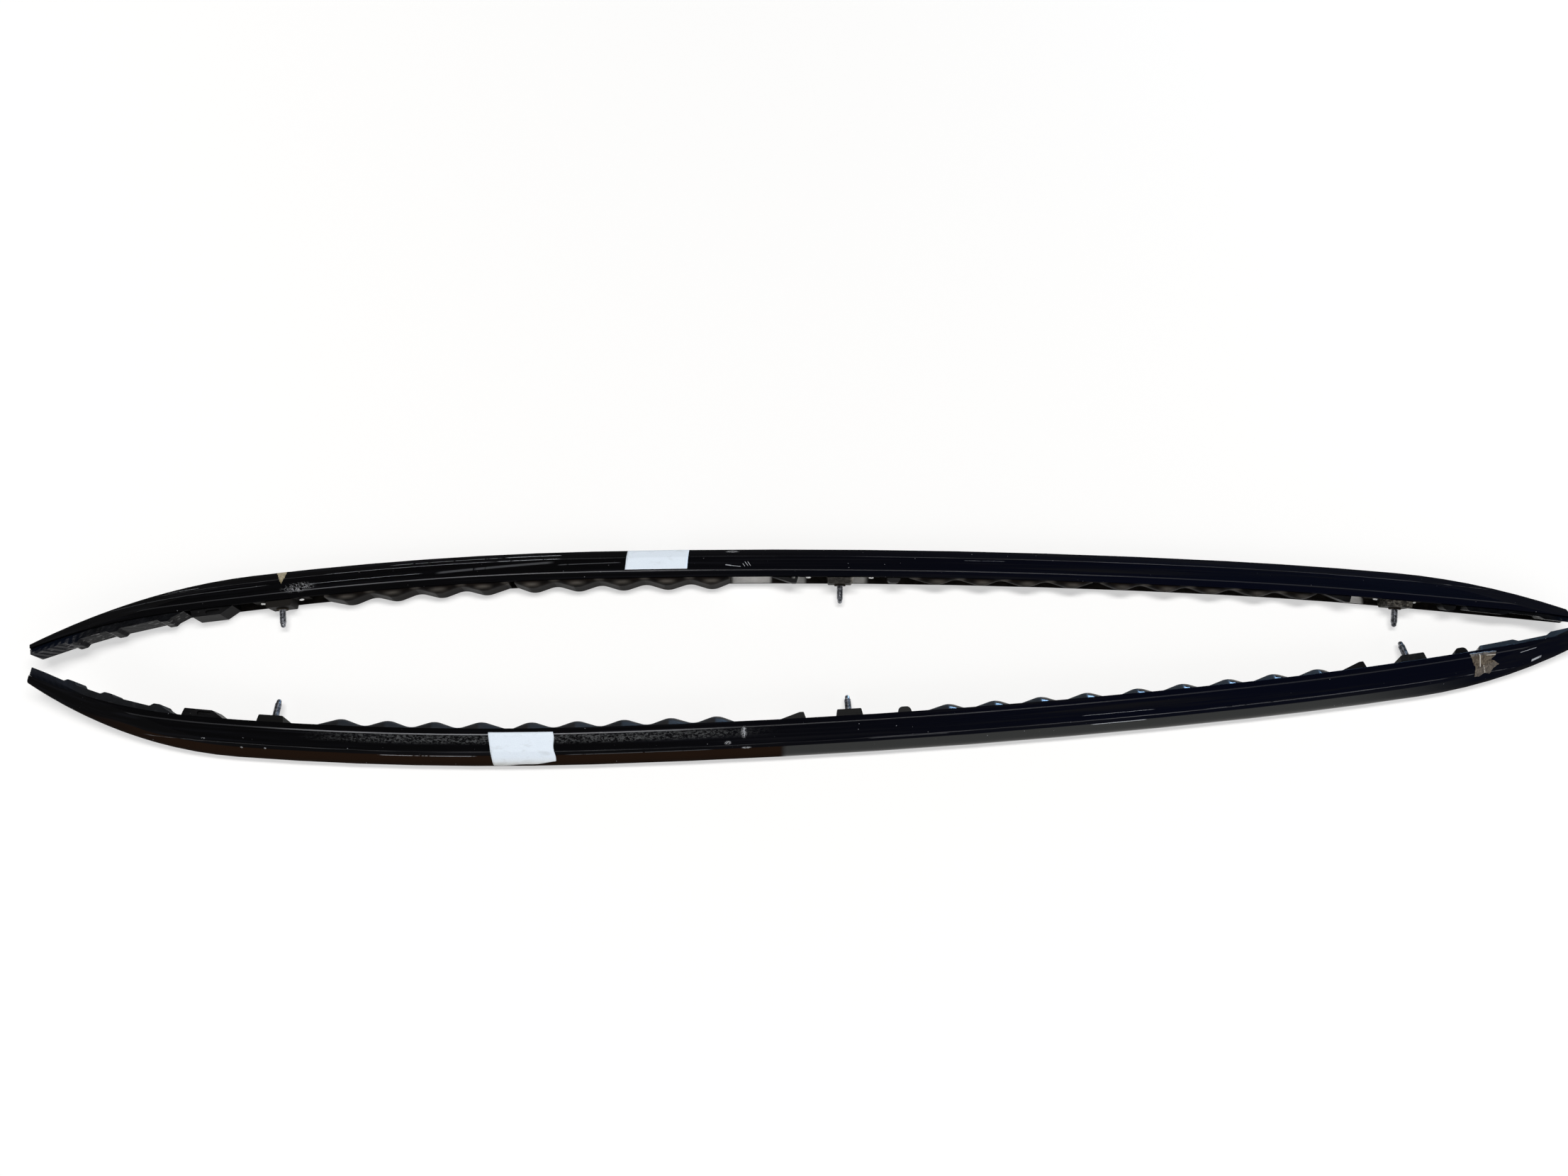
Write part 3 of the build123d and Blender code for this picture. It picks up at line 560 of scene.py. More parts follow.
def new_material(name, **settings):
    """Material with one Principled shader whose plain values are set on its own sockets."""
    material = bpy.data.materials.new(name)
    material.use_nodes = True
    tree = material.node_tree
    shader = tree.nodes["Principled BSDF"]
    for key, value in settings.items():
        socket = key.replace("_", " ").title().replace("Ior", "IOR")
        shader.inputs[socket].default_value = value
    return material, tree, shader


def rail_spot(tree, rail):
    """Coordinates on a rail, by name, and the length over its skin from the crease."""
    placed = use(tree, COORDINATES[rail.name])
    return {way: placed[way] for way in SPOT}, placed["Girth"]


def grain(tree, spot, length, width, detail=2.0, rough=0.5, distort=0.0):
    """Uneven tone on a rail, in cells of a length and a width in millimetres."""
    noise_shape = {"Detail": detail, "Roughness": rough, "Distortion": distort}
    return use(tree, GRAIN, {**spot, "Length": length, "Width": width, **noise_shape})["Tone"]


def bump(tree, shader, height, distance):
    """Raise the surface by a height pattern, in millimetres."""
    made = put(tree, "ShaderNodeBump", {"Height": height, "Distance": distance * MM})
    tree.links.new(made.outputs[0], shader.inputs["Normal"])


def scratches(tree, along, girth, marks):
    """Scratches by start, end, level, rise and width, along the rail or, where marked, across."""
    made = []
    for start, end, level, rise, width, crosswise in marks:
        run, side = (girth, along) if crosswise else (along, girth)
        line = {"Start": start, "End": end, "Level": level, "Rise": rise, "Width": width}
        made.append(use(tree, SCRATCH, {"Run": run, "Side": side, **line})["Mask"])
    return largest(tree, *made)


def near_bands(tree, spot, colour, gloss):
    """Near rail's shoulder: painted brown reflection in front, painted grey reflection and real
    gloss behind.
    """
    along = spot["Along"]
    shoulder = soft_step(tree, spot["Up"], *BAND_UP)
    band = times(tree, shoulder, soft_step(tree, spot["Crown"], *BAND_CROWN))
    rearward = soft_step(tree, along, *BAND_CHANGE)
    ahead = calc(tree, "SUBTRACT", 1.0, rearward)
    brown = times(tree, band, ahead, soft_step(tree, along, *BROWN_FROM))
    grey = times(tree, band, rearward, soft_step(tree, along, *GREY_UNTIL))
    # Painted reflections of the floor in the base colour: brown in front, grey behind
    colour = tint(tree, grey, tint(tree, brown, colour, PAINTED_BROWN_REFLECTION), PAINTED_GREY_REFLECTION)
    return colour, largest(tree, gloss, times(tree, grey, BAND_GLOSS))


def painted_edge_highlights(tree, spot, girth, lines, crease_highlight):
    """Painted highlight lines along the crease and the shoulder's ridge."""
    off_crease = calc(tree, "ABSOLUTE", spot["Crown"])
    crease = times(
        tree,
        soft_step(tree, off_crease, 1.0, 0.3),
        soft_step(tree, spot["Up"], *CREASE_UP),
        scaled(tree, span(tree, spot["Along"], *CREASE_HIGHLIGHT_RUN), crease_highlight, 0.07),
        scaled(tree, soft_step(tree, lines["Fine"], 0.35, 0.6), 0.5, 0.5),
    )
    off_ridge = calc(tree, "ABSOLUTE", calc(tree, "SUBTRACT", girth, RIDGE_GIRTH))
    ridge = times(
        tree,
        soft_step(tree, off_ridge, 0.6, 0.2),
        soft_step(tree, lines["Fine"], 0.42, 0.66),
        soft_step(tree, spot["Up"], *RIDGE_UP),
        0.3,
    )
    return largest(tree, crease, ridge)


def rail_paint(rail, scuffs, marks, smears, near):
    """Gloss black paint: painted navy reflection rearward, drawn lines, specks, painted edge
    highlights, scuffs.
    """
    material, tree, shader = new_material(
        f"{rail.name}_gloss_black_paint", specular_ior_level=0.0, coat_roughness=0.07
    )
    spot, girth = rail_spot(tree, rail)
    along = spot["Along"]
    lines = use(tree, LINES, spot)
    # Painted navy reflection of blue light, growing towards the rear
    colour = tint(tree, soft_step(tree, along, *NAVY_REFLECTION_FROM), PAINT_BLACK, PAINTED_NAVY_REFLECTION)
    colour = tint(tree, soft_step(tree, lines["Broad"], 0.45, 0.8), colour, PAINT_DRAWN)

    # The main face mirrors the room most
    normal = tree.nodes.new("ShaderNodeNewGeometry").outputs["Normal"]
    upward = put(tree, "ShaderNodeSeparateXYZ", {0: normal}).outputs[2]
    streaks = scaled(tree, lines["Broad"], 0.25, 0.12)
    main_face = soft_step(tree, upward, *MAIN_FACE_TILT)
    gloss = scaled(tree, main_face, streaks, 0.03)
    if near:
        colour, gloss = near_bands(tree, spot, colour, gloss)

    # Dust, wear and painted highlights, from the faintest to the palest
    small_specks = {"Cell": 3.1, "Size": 0.07, "Share": 0.05}
    specks = largest(
        tree,
        use(tree, SPECKS, spot)["Mask"],
        use(tree, SPECKS, {**spot, **small_specks})["Mask"],
    )
    colour = tint(tree, times(tree, specks, 0.45), colour, SPECK_PALE)
    if near:
        blots = grain(tree, spot, 4.0, 2.2, detail=5.0, rough=0.7, distort=0.6)
        region = times(tree, span(tree, along, *CRAZED_ALONG), span(tree, girth, *CRAZED_GIRTH))
        crazed = times(tree, soft_step(tree, blots, 0.44, 0.62), region, 0.9)
        colour = tint(tree, crazed, colour, CRAZED_GREY)
    smeared = scratches(tree, along, girth, smears)
    worn = largest(
        tree,
        *[use(tree, PATCH, {"Along": along, "Girth": girth, **patch})["Mask"] for patch in scuffs],
    )
    # Scratches, with painted highlight lines and painted glints among them
    cuts_and_glints = scratches(tree, along, girth, marks)
    crease_highlight = NEAR_CREASE_HIGHLIGHT if near else FAR_CREASE_HIGHLIGHT
    edge_highlights = painted_edge_highlights(tree, spot, girth, lines, crease_highlight)
    colour = tint(tree, times(tree, smeared, 0.5), colour, SMEAR_GREY)
    colour = tint(tree, times(tree, worn, 0.85), colour, SCUFF_PALE)
    colour = tint(tree, times(tree, cuts_and_glints, 0.85), colour, CUT_AND_GLINT_PALE)
    # Painted highlights along the crease and the shoulder's ridge
    colour = tint(tree, edge_highlights, colour, EDGE_HIGHLIGHT_PALE)

    rough = scaled(tree, soft_step(tree, lines["Fine"], 0.4, 0.8), 0.10, 0.16)
    rough = scaled(tree, worn, 0.4, rough, clamp=True)
    gloss = calc(tree, "SUBTRACT", gloss, worn, clamp=True)
    tree.links.new(colour, shader.inputs["Base Color"])
    tree.links.new(gloss, shader.inputs["Coat Weight"])
    tree.links.new(rough, shader.inputs["Roughness"])
    height = scaled(tree, lines["Broad"], 0.5, lines["Fine"])
    bump(tree, shader, scaled(tree, specks, 2.0, height), distance=0.010)
    return material


def channel_finish(rail):
    """Inside of a rail's channel: dark, with pale runs of painted light where no pad covers it."""
    material, tree, shader = new_material(f"{rail.name}_channel", specular_ior_level=0.2)
    spot, _ = rail_spot(tree, rail)
    dust = grain(tree, spot, 9.0, 6.0, detail=4.0, rough=0.6)
    drawn = use(tree, LINES, {**spot, "Width": 0.6})["Fine"]
    dusty = soft_step(tree, dust, 0.35, 0.7)
    dark = tint(tree, dusty, *CHANNEL_TONES)
    # The pale runs are painted light, with drawn lines in it
    bare = tint(tree, dusty, *LIT_GAP_TONES)
    bare = tint(tree, times(tree, soft_step(tree, drawn, 0.55, 0.8), 0.6), bare, LIT_GAP_LINES)
    lit_gaps = largest(tree, *[span(tree, spot["Along"], *run) for run in LIT_GAP_RUNS])
    tree.links.new(tint(tree, lit_gaps, dark, bare), shader.inputs["Base Color"])
    tree.links.new(scaled(tree, dust, 0.3, 0.40), shader.inputs["Roughness"])
    bump(tree, shader, drawn, distance=0.02)
    return material


def moulded(name, rail, tones, cell, rough, relief, specular):
    """Moulded rubber or plastic: two close tones, a fine grain and a little dust."""
    material, tree, shader = new_material(f"{rail.name}_{name}", specular_ior_level=specular)
    spot, _ = rail_spot(tree, rail)
    tone = grain(tree, spot, 26.0, 9.0, detail=4.0, rough=0.6)
    skin = grain(tree, spot, cell, cell)
    specks = use(tree, SPECKS, {**spot, "Cell": 4.0, "Size": 0.09, "Share": 0.06})["Mask"]
    colour = tint(tree, soft_step(tree, tone, 0.35, 0.7), *tones)
    colour = tint(tree, times(tree, specks, 0.35), colour, MOULDED_DUST)
    tree.links.new(colour, shader.inputs["Base Color"])
    tree.links.new(scaled(tree, tone, 0.16, rough - 0.08), shader.inputs["Roughness"])
    bump(tree, shader, skin, distance=relief)
    return material


def strip_rubber(rail, near):
    """Wavy strip: black rubber with ridged humps, polished on the near rail, painted highlights on
    the far.
    """
    material, tree, shader = new_material(
        f"{rail.name}_strip_rubber", specular_ior_level=0.28 if near else 0.02
    )
    spot, _ = rail_spot(tree, rail)
    along, crown = spot["Along"], spot["Crown"]
    past = use(tree, WAVES, {"Along": along})["Past crest"]
    tone = grain(tree, spot, 26.0, 9.0, detail=4.0, rough=0.6)
    skin = grain(tree, spot, 0.5, 0.5)
    from_ridge = calc(tree, "ADD", past, RIDGE_AHEAD)
    rounded = scaled(tree, from_ridge, from_ridge, RIDGE_ROUNDING)
    fall = times(tree, calc(tree, "SQRT", rounded), FACET_FALL)
    height = calc(tree, "SUBTRACT", times(tree, crown, FACET_CROWN_SLOPE), fall)
    colour = tint(tree, soft_step(tree, tone, 0.35, 0.7), *STRIP_TONES)
    if near:
        rise, fade = soft_step(tree, past, *POLISH_RISE), soft_step(tree, past, *POLISH_FADE)
        shine = scaled(tree, soft_step(tree, along, *POLISH_REARWARD), 0.8, 0.2)
        polished = times(tree, times(tree, rise, fade), shine)
        rough = scaled(tree, polished, -0.66, 0.80)
    else:
        rough = scaled(tree, tone, 0.16, 0.28)
        upper = soft_step(tree, spot["Up"], *HIGHLIGHT_UP)
        away = calc(tree, "ABSOLUTE", past)
        crest_line, valley_line = span(tree, crown, *CREST_LINE), span(tree, crown, *VALLEY_LINE)
        crest = times(tree, soft_step(tree, away, *HIGHLIGHT_BY_CREST), crest_line)
        valley = times(tree, soft_step(tree, away, *HIGHLIGHT_BY_VALLEY), valley_line)
        uneven = scaled(tree, tone, 0.8, 0.4)
        # Painted highlights on the far crests and in the far valleys
        dust = times(tree, largest(tree, crest, valley), upper, uneven)
        colour = tint(tree, dust, colour, STRIP_PAINTED_HIGHLIGHT)
    tree.links.new(colour, shader.inputs["Base Color"])
    tree.links.new(rough, shader.inputs["Roughness"])
    bump(tree, shader, scaled(tree, skin, 0.02, height), distance=1.0)
    return material


def cast_foot(rail, dark, light, plate):
    """Cast foot: stained metal, paler on the middle foot's plates."""
    material, tree, shader = new_material(f"{rail.name}_foot_casting", specular_ior_level=0.06)
    spot, _ = rail_spot(tree, rail)
    along = spot["Along"]
    stain = grain(tree, spot, 4.0, 3.0, detail=5.0, rough=0.65)
    pits = grain(tree, spot, 0.7, 0.7, detail=3.0, rough=0.6)
    rear = scaled(tree, soft_step(tree, along, *REAR_FOOT_FROM), 0.75, 0.25)
    behind = soft_step(tree, along, *STAINED_FROM)
    bright = times(tree, soft_step(tree, stain, 0.40, 0.68), behind, rear)
    colour = tint(tree, bright, dark, light)
    plates = times(tree, span(tree, along, *FOOT_PLATES), soft_step(tree, stain, 0.30, 0.55))
    tree.links.new(tint(tree, plates, colour, plate), shader.inputs["Base Color"])
    tree.links.new(scaled(tree, stain, 0.25, 0.40), shader.inputs["Roughness"])
    bump(tree, shader, pits, distance=0.03)
    return material


def nose_plastic(rail, near):
    """Glossy moulded end pad, with a painted dark blue sheen and fine cross ribs near the tips."""
    material, tree, shader = new_material(
        f"{rail.name}_nose_plastic", specular_ior_level=0.18 if near else 0.03, coat_roughness=0.12
    )
    spot, _ = rail_spot(tree, rail)
    along = spot["Along"]
    tone = grain(tree, spot, 14.0, 8.0, detail=4.0, rough=0.6)
    tips = largest(tree, soft_step(tree, along, *FRONT_NOSE), soft_step(tree, along, *REAR_NOSE))
    colour = tint(tree, soft_step(tree, tone, 0.35, 0.7), *END_PAD_TONES)
    # Painted dark blue sheen near the tips
    colour = tint(tree, times(tree, tips, 0.5), colour, END_PAD_PAINTED_BLUE_SHEEN)
    tree.links.new(colour, shader.inputs["Base Color"])
    turn = calc(tree, "MULTIPLY", along, RIB_TURN_ALONG)
    ribs = calc(tree, "SINE", scaled(tree, spot["Up"], RIB_TURN_UP, turn))
    waves = grain(tree, spot, 7.0, 6.0)
    height = scaled(tree, times(tree, ribs, tips), 0.5, waves)
    glints = grain(tree, spot, 9.0, 5.0)
    shine = times(tree, soft_step(tree, glints, 0.60, 0.67), 0.45)
    if near:
        rise = times(tree, spot["Crown"], PAD_SLANT_CROWN)
        fall = times(tree, along, PAD_SLANT_ALONG)
        slant = calc(tree, "SUBTRACT", rise, fall)
        rear = calc(tree, "GREATER_THAN", along, 0.0)
        height = calc(tree, "ADD", height, times(tree, slant, rear))
        shine = largest(tree, times(tree, shine, 0.6), span(tree, along, *PAD_GLINT))
        rough = scaled(tree, shine, -0.66, 0.82)
    else:
        tree.links.new(shine, shader.inputs["Coat Weight"])
        rough = scaled(tree, tone, 0.2, 0.14)
    tree.links.new(rough, shader.inputs["Roughness"])
    bump(tree, shader, height, distance=0.4)
    return material


def mottled_metal(name, rail, tones, rough):
    """Plated metal with stains."""
    material, tree, shader = new_material(f"{rail.name}_{name}", metallic=1.0)
    spot, _ = rail_spot(tree, rail)
    stain = grain(tree, spot, 4.0, 3.0, detail=5.0, rough=0.65)
    pits = grain(tree, spot, 0.7, 0.7, detail=3.0, rough=0.6)
    colour = tint(tree, soft_step(tree, stain, 0.38, 0.66), *tones)
    tree.links.new(colour, shader.inputs["Base Color"])
    tree.links.new(scaled(tree, stain, 0.25, rough - 0.1), shader.inputs["Roughness"])
    bump(tree, shader, pits, distance=0.03)
    return material


def label_paper(rail, tinted_low):
    """Plain white label paper: faint fibres, a few smudges and, where asked, browner towards the
    bottom.
    """
    material, tree, shader = new_material(f"{rail.name}_label_paper", specular_ior_level=0.3)
    spot, _ = rail_spot(tree, rail)
    smudge = grain(tree, spot, 16.0, 9.0, detail=3.0, rough=0.6, distort=0.5)
    fibre = grain(tree, spot, 0.8, 0.8, detail=4.0, rough=0.6)
    paper = tint(tree, soft_step(tree, fibre, 0.3, 0.7), *PAPER_TONES)
    smudged = times(tree, soft_step(tree, smudge, 0.52, 0.72), 0.35)
    paper = tint(tree, smudged, paper, PAPER_SMUDGE)
    if tinted_low:
        # Browner towards the bottom
        low_tint = times(tree, soft_step(tree, spot["Up"], *LOWER_TINT_UP), 0.55)
        paper = tint(tree, low_tint, paper, PAPER_LOWER_TINT)
    tree.links.new(paper, shader.inputs["Base Color"])
    tree.links.new(scaled(tree, fibre, 0.2, 0.40), shader.inputs["Roughness"])
    bump(tree, shader, scaled(tree, smudge, 3.0, fibre), distance=0.05)
    return material


def brown_tape(rail, tones, creases):
    """Torn packing tape, wrinkled, with white crease lines."""
    material, tree, shader = new_material(f"{rail.name}_brown_tape", specular_ior_level=0.4)
    spot, girth = rail_spot(tree, rail)
    wrinkles = grain(tree, spot, 3.5, 5.0, detail=4.0, rough=0.6, distort=1.0)
    colour = tint(tree, soft_step(tree, wrinkles, 0.35, 0.68), *tones)
    pale = times(tree, scratches(tree, spot["Along"], girth, creases), 0.85)
    tree.links.new(tint(tree, pale, colour, TAPE_CREASE), shader.inputs["Base Color"])
    tree.links.new(scaled(tree, wrinkles, 0.3, 0.2), shader.inputs["Roughness"])
    bump(tree, shader, wrinkles, distance=0.25)
    return material


def scuff(middle, level, half_length, half_width, stroke, line, bare):
    """Values of one scuffed patch, in millimetres, with its line and bare limits."""
    return {
        "Middle": middle, "Level": level, "Half length": half_length, "Half width": half_width,
        "Stroke": stroke, "Line": line, "Bare": bare,
    }


# Marks on the skin, by station and length from the crease in millimetres. Scratches and smears
# have start, end, level, rise and width, and say whether they run across the rail
RIGHT_SCUFFS = (
    scuff(-665.0, 5.5, 24.0, 9.0, stroke=3.2, line=0.015, bare=0.66),
    scuff(-134.0, 31.5, 10.0, 3.0, stroke=1.6, line=0.03, bare=0.58),
)
RIGHT_SCRATCHES_AND_HIGHLIGHTS = (
    (-660.0, -512.0, 8.5, 1.0, 0.18, False),
    # The next four lines are painted highlights: two along the shoulder's ridge, two near the crown
    (-426.0, -345.0, 21.3, 0.3, 0.45, False),
    (-640.0, -426.0, 21.3, 0.0, 0.22, False),
    (-417.0, -345.0, 28.6, 0.6, 0.55, False),
    (-560.0, -417.0, 27.8, 0.6, 0.22, False),
    (-830.0, -790.0, 24.0, 0.0, 0.25, False),
    (152.0, 205.0, 17.0, 0.4, 0.10, False),
    (-142.0, -134.0, 8.0, -1.2, 0.80, False),
    (-134.5, -122.5, 6.6, -1.6, 0.40, False),
    (5.0, 10.0, -117.5, -3.0, 0.40, True),
    (5.5, 13.0, -113.5, -4.5, 0.45, True),
    (6.0, 13.0, -110.5, -4.0, 0.40, True),
)
RIGHT_SMEARS = (
    (-500.0, -352.0, 8.5, 8.0, 2.4, False),
    (-350.0, -270.0, 12.0, 1.5, 0.9, False),
    (-900.0, -700.0, 12.0, 2.0, 0.7, False),
)
LEFT_SCUFFS = (
    scuff(-126.0, 6.0, 4.5, 9.0, stroke=1.5, line=0.03, bare=0.66),
    scuff(-145.0, 18.0, 5.0, 2.6, stroke=1.2, line=0.04, bare=0.56),
    scuff(-123.0, 25.0, 7.0, 1.6, stroke=1.2, line=0.04, bare=0.56),
    scuff(-765.0, 18.0, 2.8, 1.1, stroke=1.2, line=0.04, bare=0.54),
    scuff(-720.0, 26.0, 2.2, 1.4, stroke=1.2, line=0.04, bare=0.56),
    scuff(-692.0, 25.0, 1.8, 1.2, stroke=1.2, line=0.04, bare=0.58),
)
LEFT_SCRATCHES_AND_GLINTS = (
    (287.0, 357.0, 26.5, 0.0, 0.42, False),
    (276.0, 366.0, 14.5, 0.0, 0.15, False),
    # The next two lines are painted glints on the rear nose
    (814.0, 836.0, 4.5, -3.0, 0.40, False),
    (832.0, 845.0, 16.0, -3.5, 1.70, False),
    (0.5, 12.0, -126.0, 1.0, 0.35, True),
    (-560.0, -440.0, 26.5, 0.0, 0.28, False),
)
LEFT_SMEARS = (
    (-340.0, -160.0, 25.5, 0.0, 0.6, False),
    (20.0, 120.0, 22.0, 0.0, 0.5, False),
    (420.0, 640.0, 20.5, 0.0, 0.5, False),
)
WEDGE_CREASES = ((14.0, 34.0, -685.5, 1.5, 0.5, True),)
TORN_CREASES = (
    (-3.0, 14.0, 763.5, 1.0, 0.8, True),
    (12.0, 24.0, 768.5, 5.0, 0.6, True),
    (771.0, 786.0, 0.5, 1.5, 0.5, False),
)
PAINTS = {
    "right": rail_paint(right_rail, RIGHT_SCUFFS, RIGHT_SCRATCHES_AND_HIGHLIGHTS, RIGHT_SMEARS, near=False),
    "left": rail_paint(left_rail, LEFT_SCUFFS, LEFT_SCRATCHES_AND_GLINTS, LEFT_SMEARS, near=True),
}


def finishes(rail):
    """Finish of each kind of piece on a rail, by a word in the piece's name."""
    near = rail is left_rail
    return {
        "strip": strip_rubber(rail, near),
        "end_pad": nose_plastic(rail, near),
        "clip": moulded(
            "clip_plastic", rail, CLIP_TONES, cell=0.6, rough=0.36, relief=0.03, specular=0.03
        ),
        "round_pad": moulded(
            "pad_rubber", rail, PAD_TONES, cell=0.6, rough=0.40, relief=0.03, specular=0.05
        ),
        "foot_screws": mottled_metal("screw_steel", rail, SCREW_TONES, rough=0.26),
        "foot": cast_foot(rail, *FOOT_TONES[rail.name]),
        "stud": mottled_metal("stud_zinc", rail, STUD_TONES, rough=0.30),
        "seal": moulded(
            "seal_foam", rail, SEAL_TONES, cell=0.9, rough=0.8, relief=0.1, specular=0.05
        ),
    }


FINISHES = {rail.name: finishes(rail) for rail in RAILS}

# Faces of the bar that belong to its channel: limits to the crown and up, room left at the tips,
# and how far a face on the outside turns to the crown, or up beyond the flange
CHANNEL_CROWN = (-7.2, 2.3)
CHANNEL_UP = (2.8, 29.2)
CHANNEL_TIP_ROOM = 5
OUTSIDE_TO_CROWN = 0.2
OUTSIDE_TO_UP = 0.3
FLANGE_UP = 6


def dress_solids(rail):
    """Give each of a rail's solids its finish; the bar's channel faces get their own."""
    for label, piece in nodes.items():
        if not label.startswith(rail.name):
            continue
        piece.data.materials.clear()
        if not label.endswith("rail_bar"):
            kind = next(k for k in FINISHES[rail.name] if k in label)
            piece.data.materials.append(FINISHES[rail.name][kind])
            continue
        piece.data.materials.append(PAINTS[rail.name])
        piece.data.materials.append(channel_finish(rail))
        for face in piece.data.polygons:
            station, height, width = rail.locate(face.center / MM)
            _, _, crown, up = rail.place(station)
            outside = face.normal.dot(crown) > OUTSIDE_TO_CROWN or (
                face.normal.dot(up) > OUTSIDE_TO_UP and width > FLANGE_UP
            )
            within = (
                FRONT_TIP + CHANNEL_TIP_ROOM < station < REAR_TIP - CHANNEL_TIP_ROOM
                and CHANNEL_CROWN[0] < height < CHANNEL_CROWN[1]
                and CHANNEL_UP[0] < width < CHANNEL_UP[1]
            )
            face.material_index = int(within and not outside)


def mesh_object(name, corners, faces, material):
    """New mesh object, from corners in metres."""
    mesh = bpy.data.meshes.new(name)
    mesh.from_pydata([tuple(c) for c in corners], [], faces)
    mesh.materials.append(material)
    made = bpy.data.objects.new(name, mesh)
    bpy.context.scene.collection.objects.link(made)
    return made


def add_piece(name, corners, faces, material):
    """New smooth piece on the part."""
    piece = mesh_object(name, corners, faces, material)
    piece.data.polygons.foreach_set("use_smooth", [True] * len(faces))
    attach(piece, "root")
    return piece


# Labels and tape: how they lie on the skin, and their grids, each with a start, an end and a
# number of steps, by station and by length from the crease
SHEET_LIFT = 0.08
SHEET_THICKNESS = 0.12
RIPPLE_HEIGHT = 0.10
RIPPLE_RATE = 0.12
RIPPLE_LAYER = 3.7
RAGGED_DEPTH = 0.7
RAGGED_RATE = 0.5
RAGGED_LAYERS = (0.3, 9.3)
RIGHT_LABEL = ((-265.0, -188.5, 24), (2.4, 46.0, 40))
LEFT_LABEL = ((-428.0, -351.5, 30), (-2.6, 41.0, 40))
WEDGE_GRID = ((-698.0, -681.0, 34), (12.0, 41.0, 58))
WEDGE_OUTLINE = [(-697.0, 40.5), (-682.5, 40.5), (-683.5, 24.0), (-685.5, 13.5), (-688.0, 18.0)]
TORN_GRID = ((752.0, 789.0, 74), (-5.0, 27.0, 64))
TORN_OUTLINE = [
    (753.5, -4.5), (770.0, -4.0), (786.0, -2.5), (783.0, 3.0), (777.5, 6.5), (784.0, 11.0),
    (787.5, 14.0), (780.0, 18.5), (775.5, 25.0), (769.0, 22.5), (762.0, 26.0), (756.0, 25.0),
    (757.5, 14.0), (754.5, 6.0),
]


def lay_sheet(rail, name, material, grid, outline=None, edge=None):
    """Thin sheet on the skin: a grid of stations and girths, moved by edge, cut to an outline."""
    (start, end, columns), (low, high, rows) = grid
    corners, faces = [], []
    for column in range(columns + 1):
        share = column / columns
        section = None
        for row in range(rows + 1):
            part = row / rows
            station, girth = start + (end - start) * share, low + (high - low) * part
            if edge:
                station, girth = edge(share, part, station, girth)
            if section is None or edge:
                section = rail.skin(station)
            spot = Vector((station * RIPPLE_RATE, girth * RIPPLE_RATE, RIPPLE_LAYER))
            ripple = RIPPLE_HEIGHT * noise.noise(spot)
            corners.append(on_skin(section, girth, SHEET_LIFT + max(0.0, ripple)))
    for column in range(columns):
        for row in range(rows):
            station = start + (end - start) * (column + 0.5) / columns
            girth = low + (high - low) * (row + 0.5) / rows
            if outline and not inside(outline, station, girth):
                continue
            a = column * (rows + 1) + row
            loop = (a, a + 1, a + rows + 2, a + rows + 1)
            faces.append(loop if rail.flip < 0 else loop[::-1])
    used = sorted({k for loop in faces for k in loop})
    number = {k: n for n, k in enumerate(used)}
    faces = [tuple(number[k] for k in loop) for loop in faces]
    piece = add_piece(name, [corners[k] for k in used], faces, material)
    layer = piece.modifiers.new("thickness", "SOLIDIFY")
    layer.thickness = SHEET_THICKNESS * MM
    layer.offset = 1.0


def inside(outline, station, girth):
    """Whether a place lies inside a closed outline, with a ragged edge."""
    first, second = RAGGED_LAYERS
    spot = Vector((station * RAGGED_RATE, girth * RAGGED_RATE, first))
    station += RAGGED_DEPTH * noise.noise(spot)
    spot = Vector((station * RAGGED_RATE, girth * RAGGED_RATE, second))
    girth += RAGGED_DEPTH * noise.noise(spot)
    crossings = False
    for (x0, y0), (x1, y1) in zip(outline, outline[1:] + outline[:1]):
        if (y0 > girth) != (y1 > girth) and station < x0 + (girth - y0) * (x1 - x0) / (y1 - y0):
            crossings = not crossings
    return crossings


def near_label_edge(share, part, station, girth):
    """The near label leans, and its rear lower corner is curled back and wavy."""
    lean = 5.0 * (1 - share) * part + 2.0 * share * part
    wave = 0.8 * math.sin(9.0 * part) * share ** 6
    curl = -6.5 * share ** 1.5 * part + 0.7 * math.sin(11.0 * share) * part
    return station + lean + wave, girth + curl


def far_label_edge(share, part, station, girth):
    """The far label leans a little."""
    return station + 1.6 * part, girth


def make_labels_and_tape():
    """Bare paper labels on both rails and torn pieces of tape."""
    far_paper, near_paper = label_paper(right_rail, False), label_paper(left_rail, True)
    lay_sheet(right_rail, "right_paper_label", far_paper, RIGHT_LABEL, edge=far_label_edge)
    lay_sheet(left_rail, "left_paper_label", near_paper, LEFT_LABEL, edge=near_label_edge)
    far_tape = brown_tape(right_rail, FAR_TAPE_TONES, WEDGE_CREASES)
    near_tape = brown_tape(left_rail, NEAR_TAPE_TONES, TORN_CREASES)
    lay_sheet(right_rail, "right_tape_wedge", far_tape, WEDGE_GRID, outline=WEDGE_OUTLINE)
    lay_sheet(left_rail, "left_torn_tape", near_tape, TORN_GRID, outline=TORN_OUTLINE)


def ring_piece(rings, sides):
    """Faces between rings of corners, with both ends closed."""
    faces = []
    for k in range(rings - 1):
        for n in range(sides):
            m = (n + 1) % sides
            faces.append((k * sides + n, k * sides + m, (k + 1) * sides + m, (k + 1) * sides + n))
    faces.append(tuple(range(sides))[::-1])
    faces.append(tuple((rings - 1) * sides + n for n in range(sides)))
    return faces


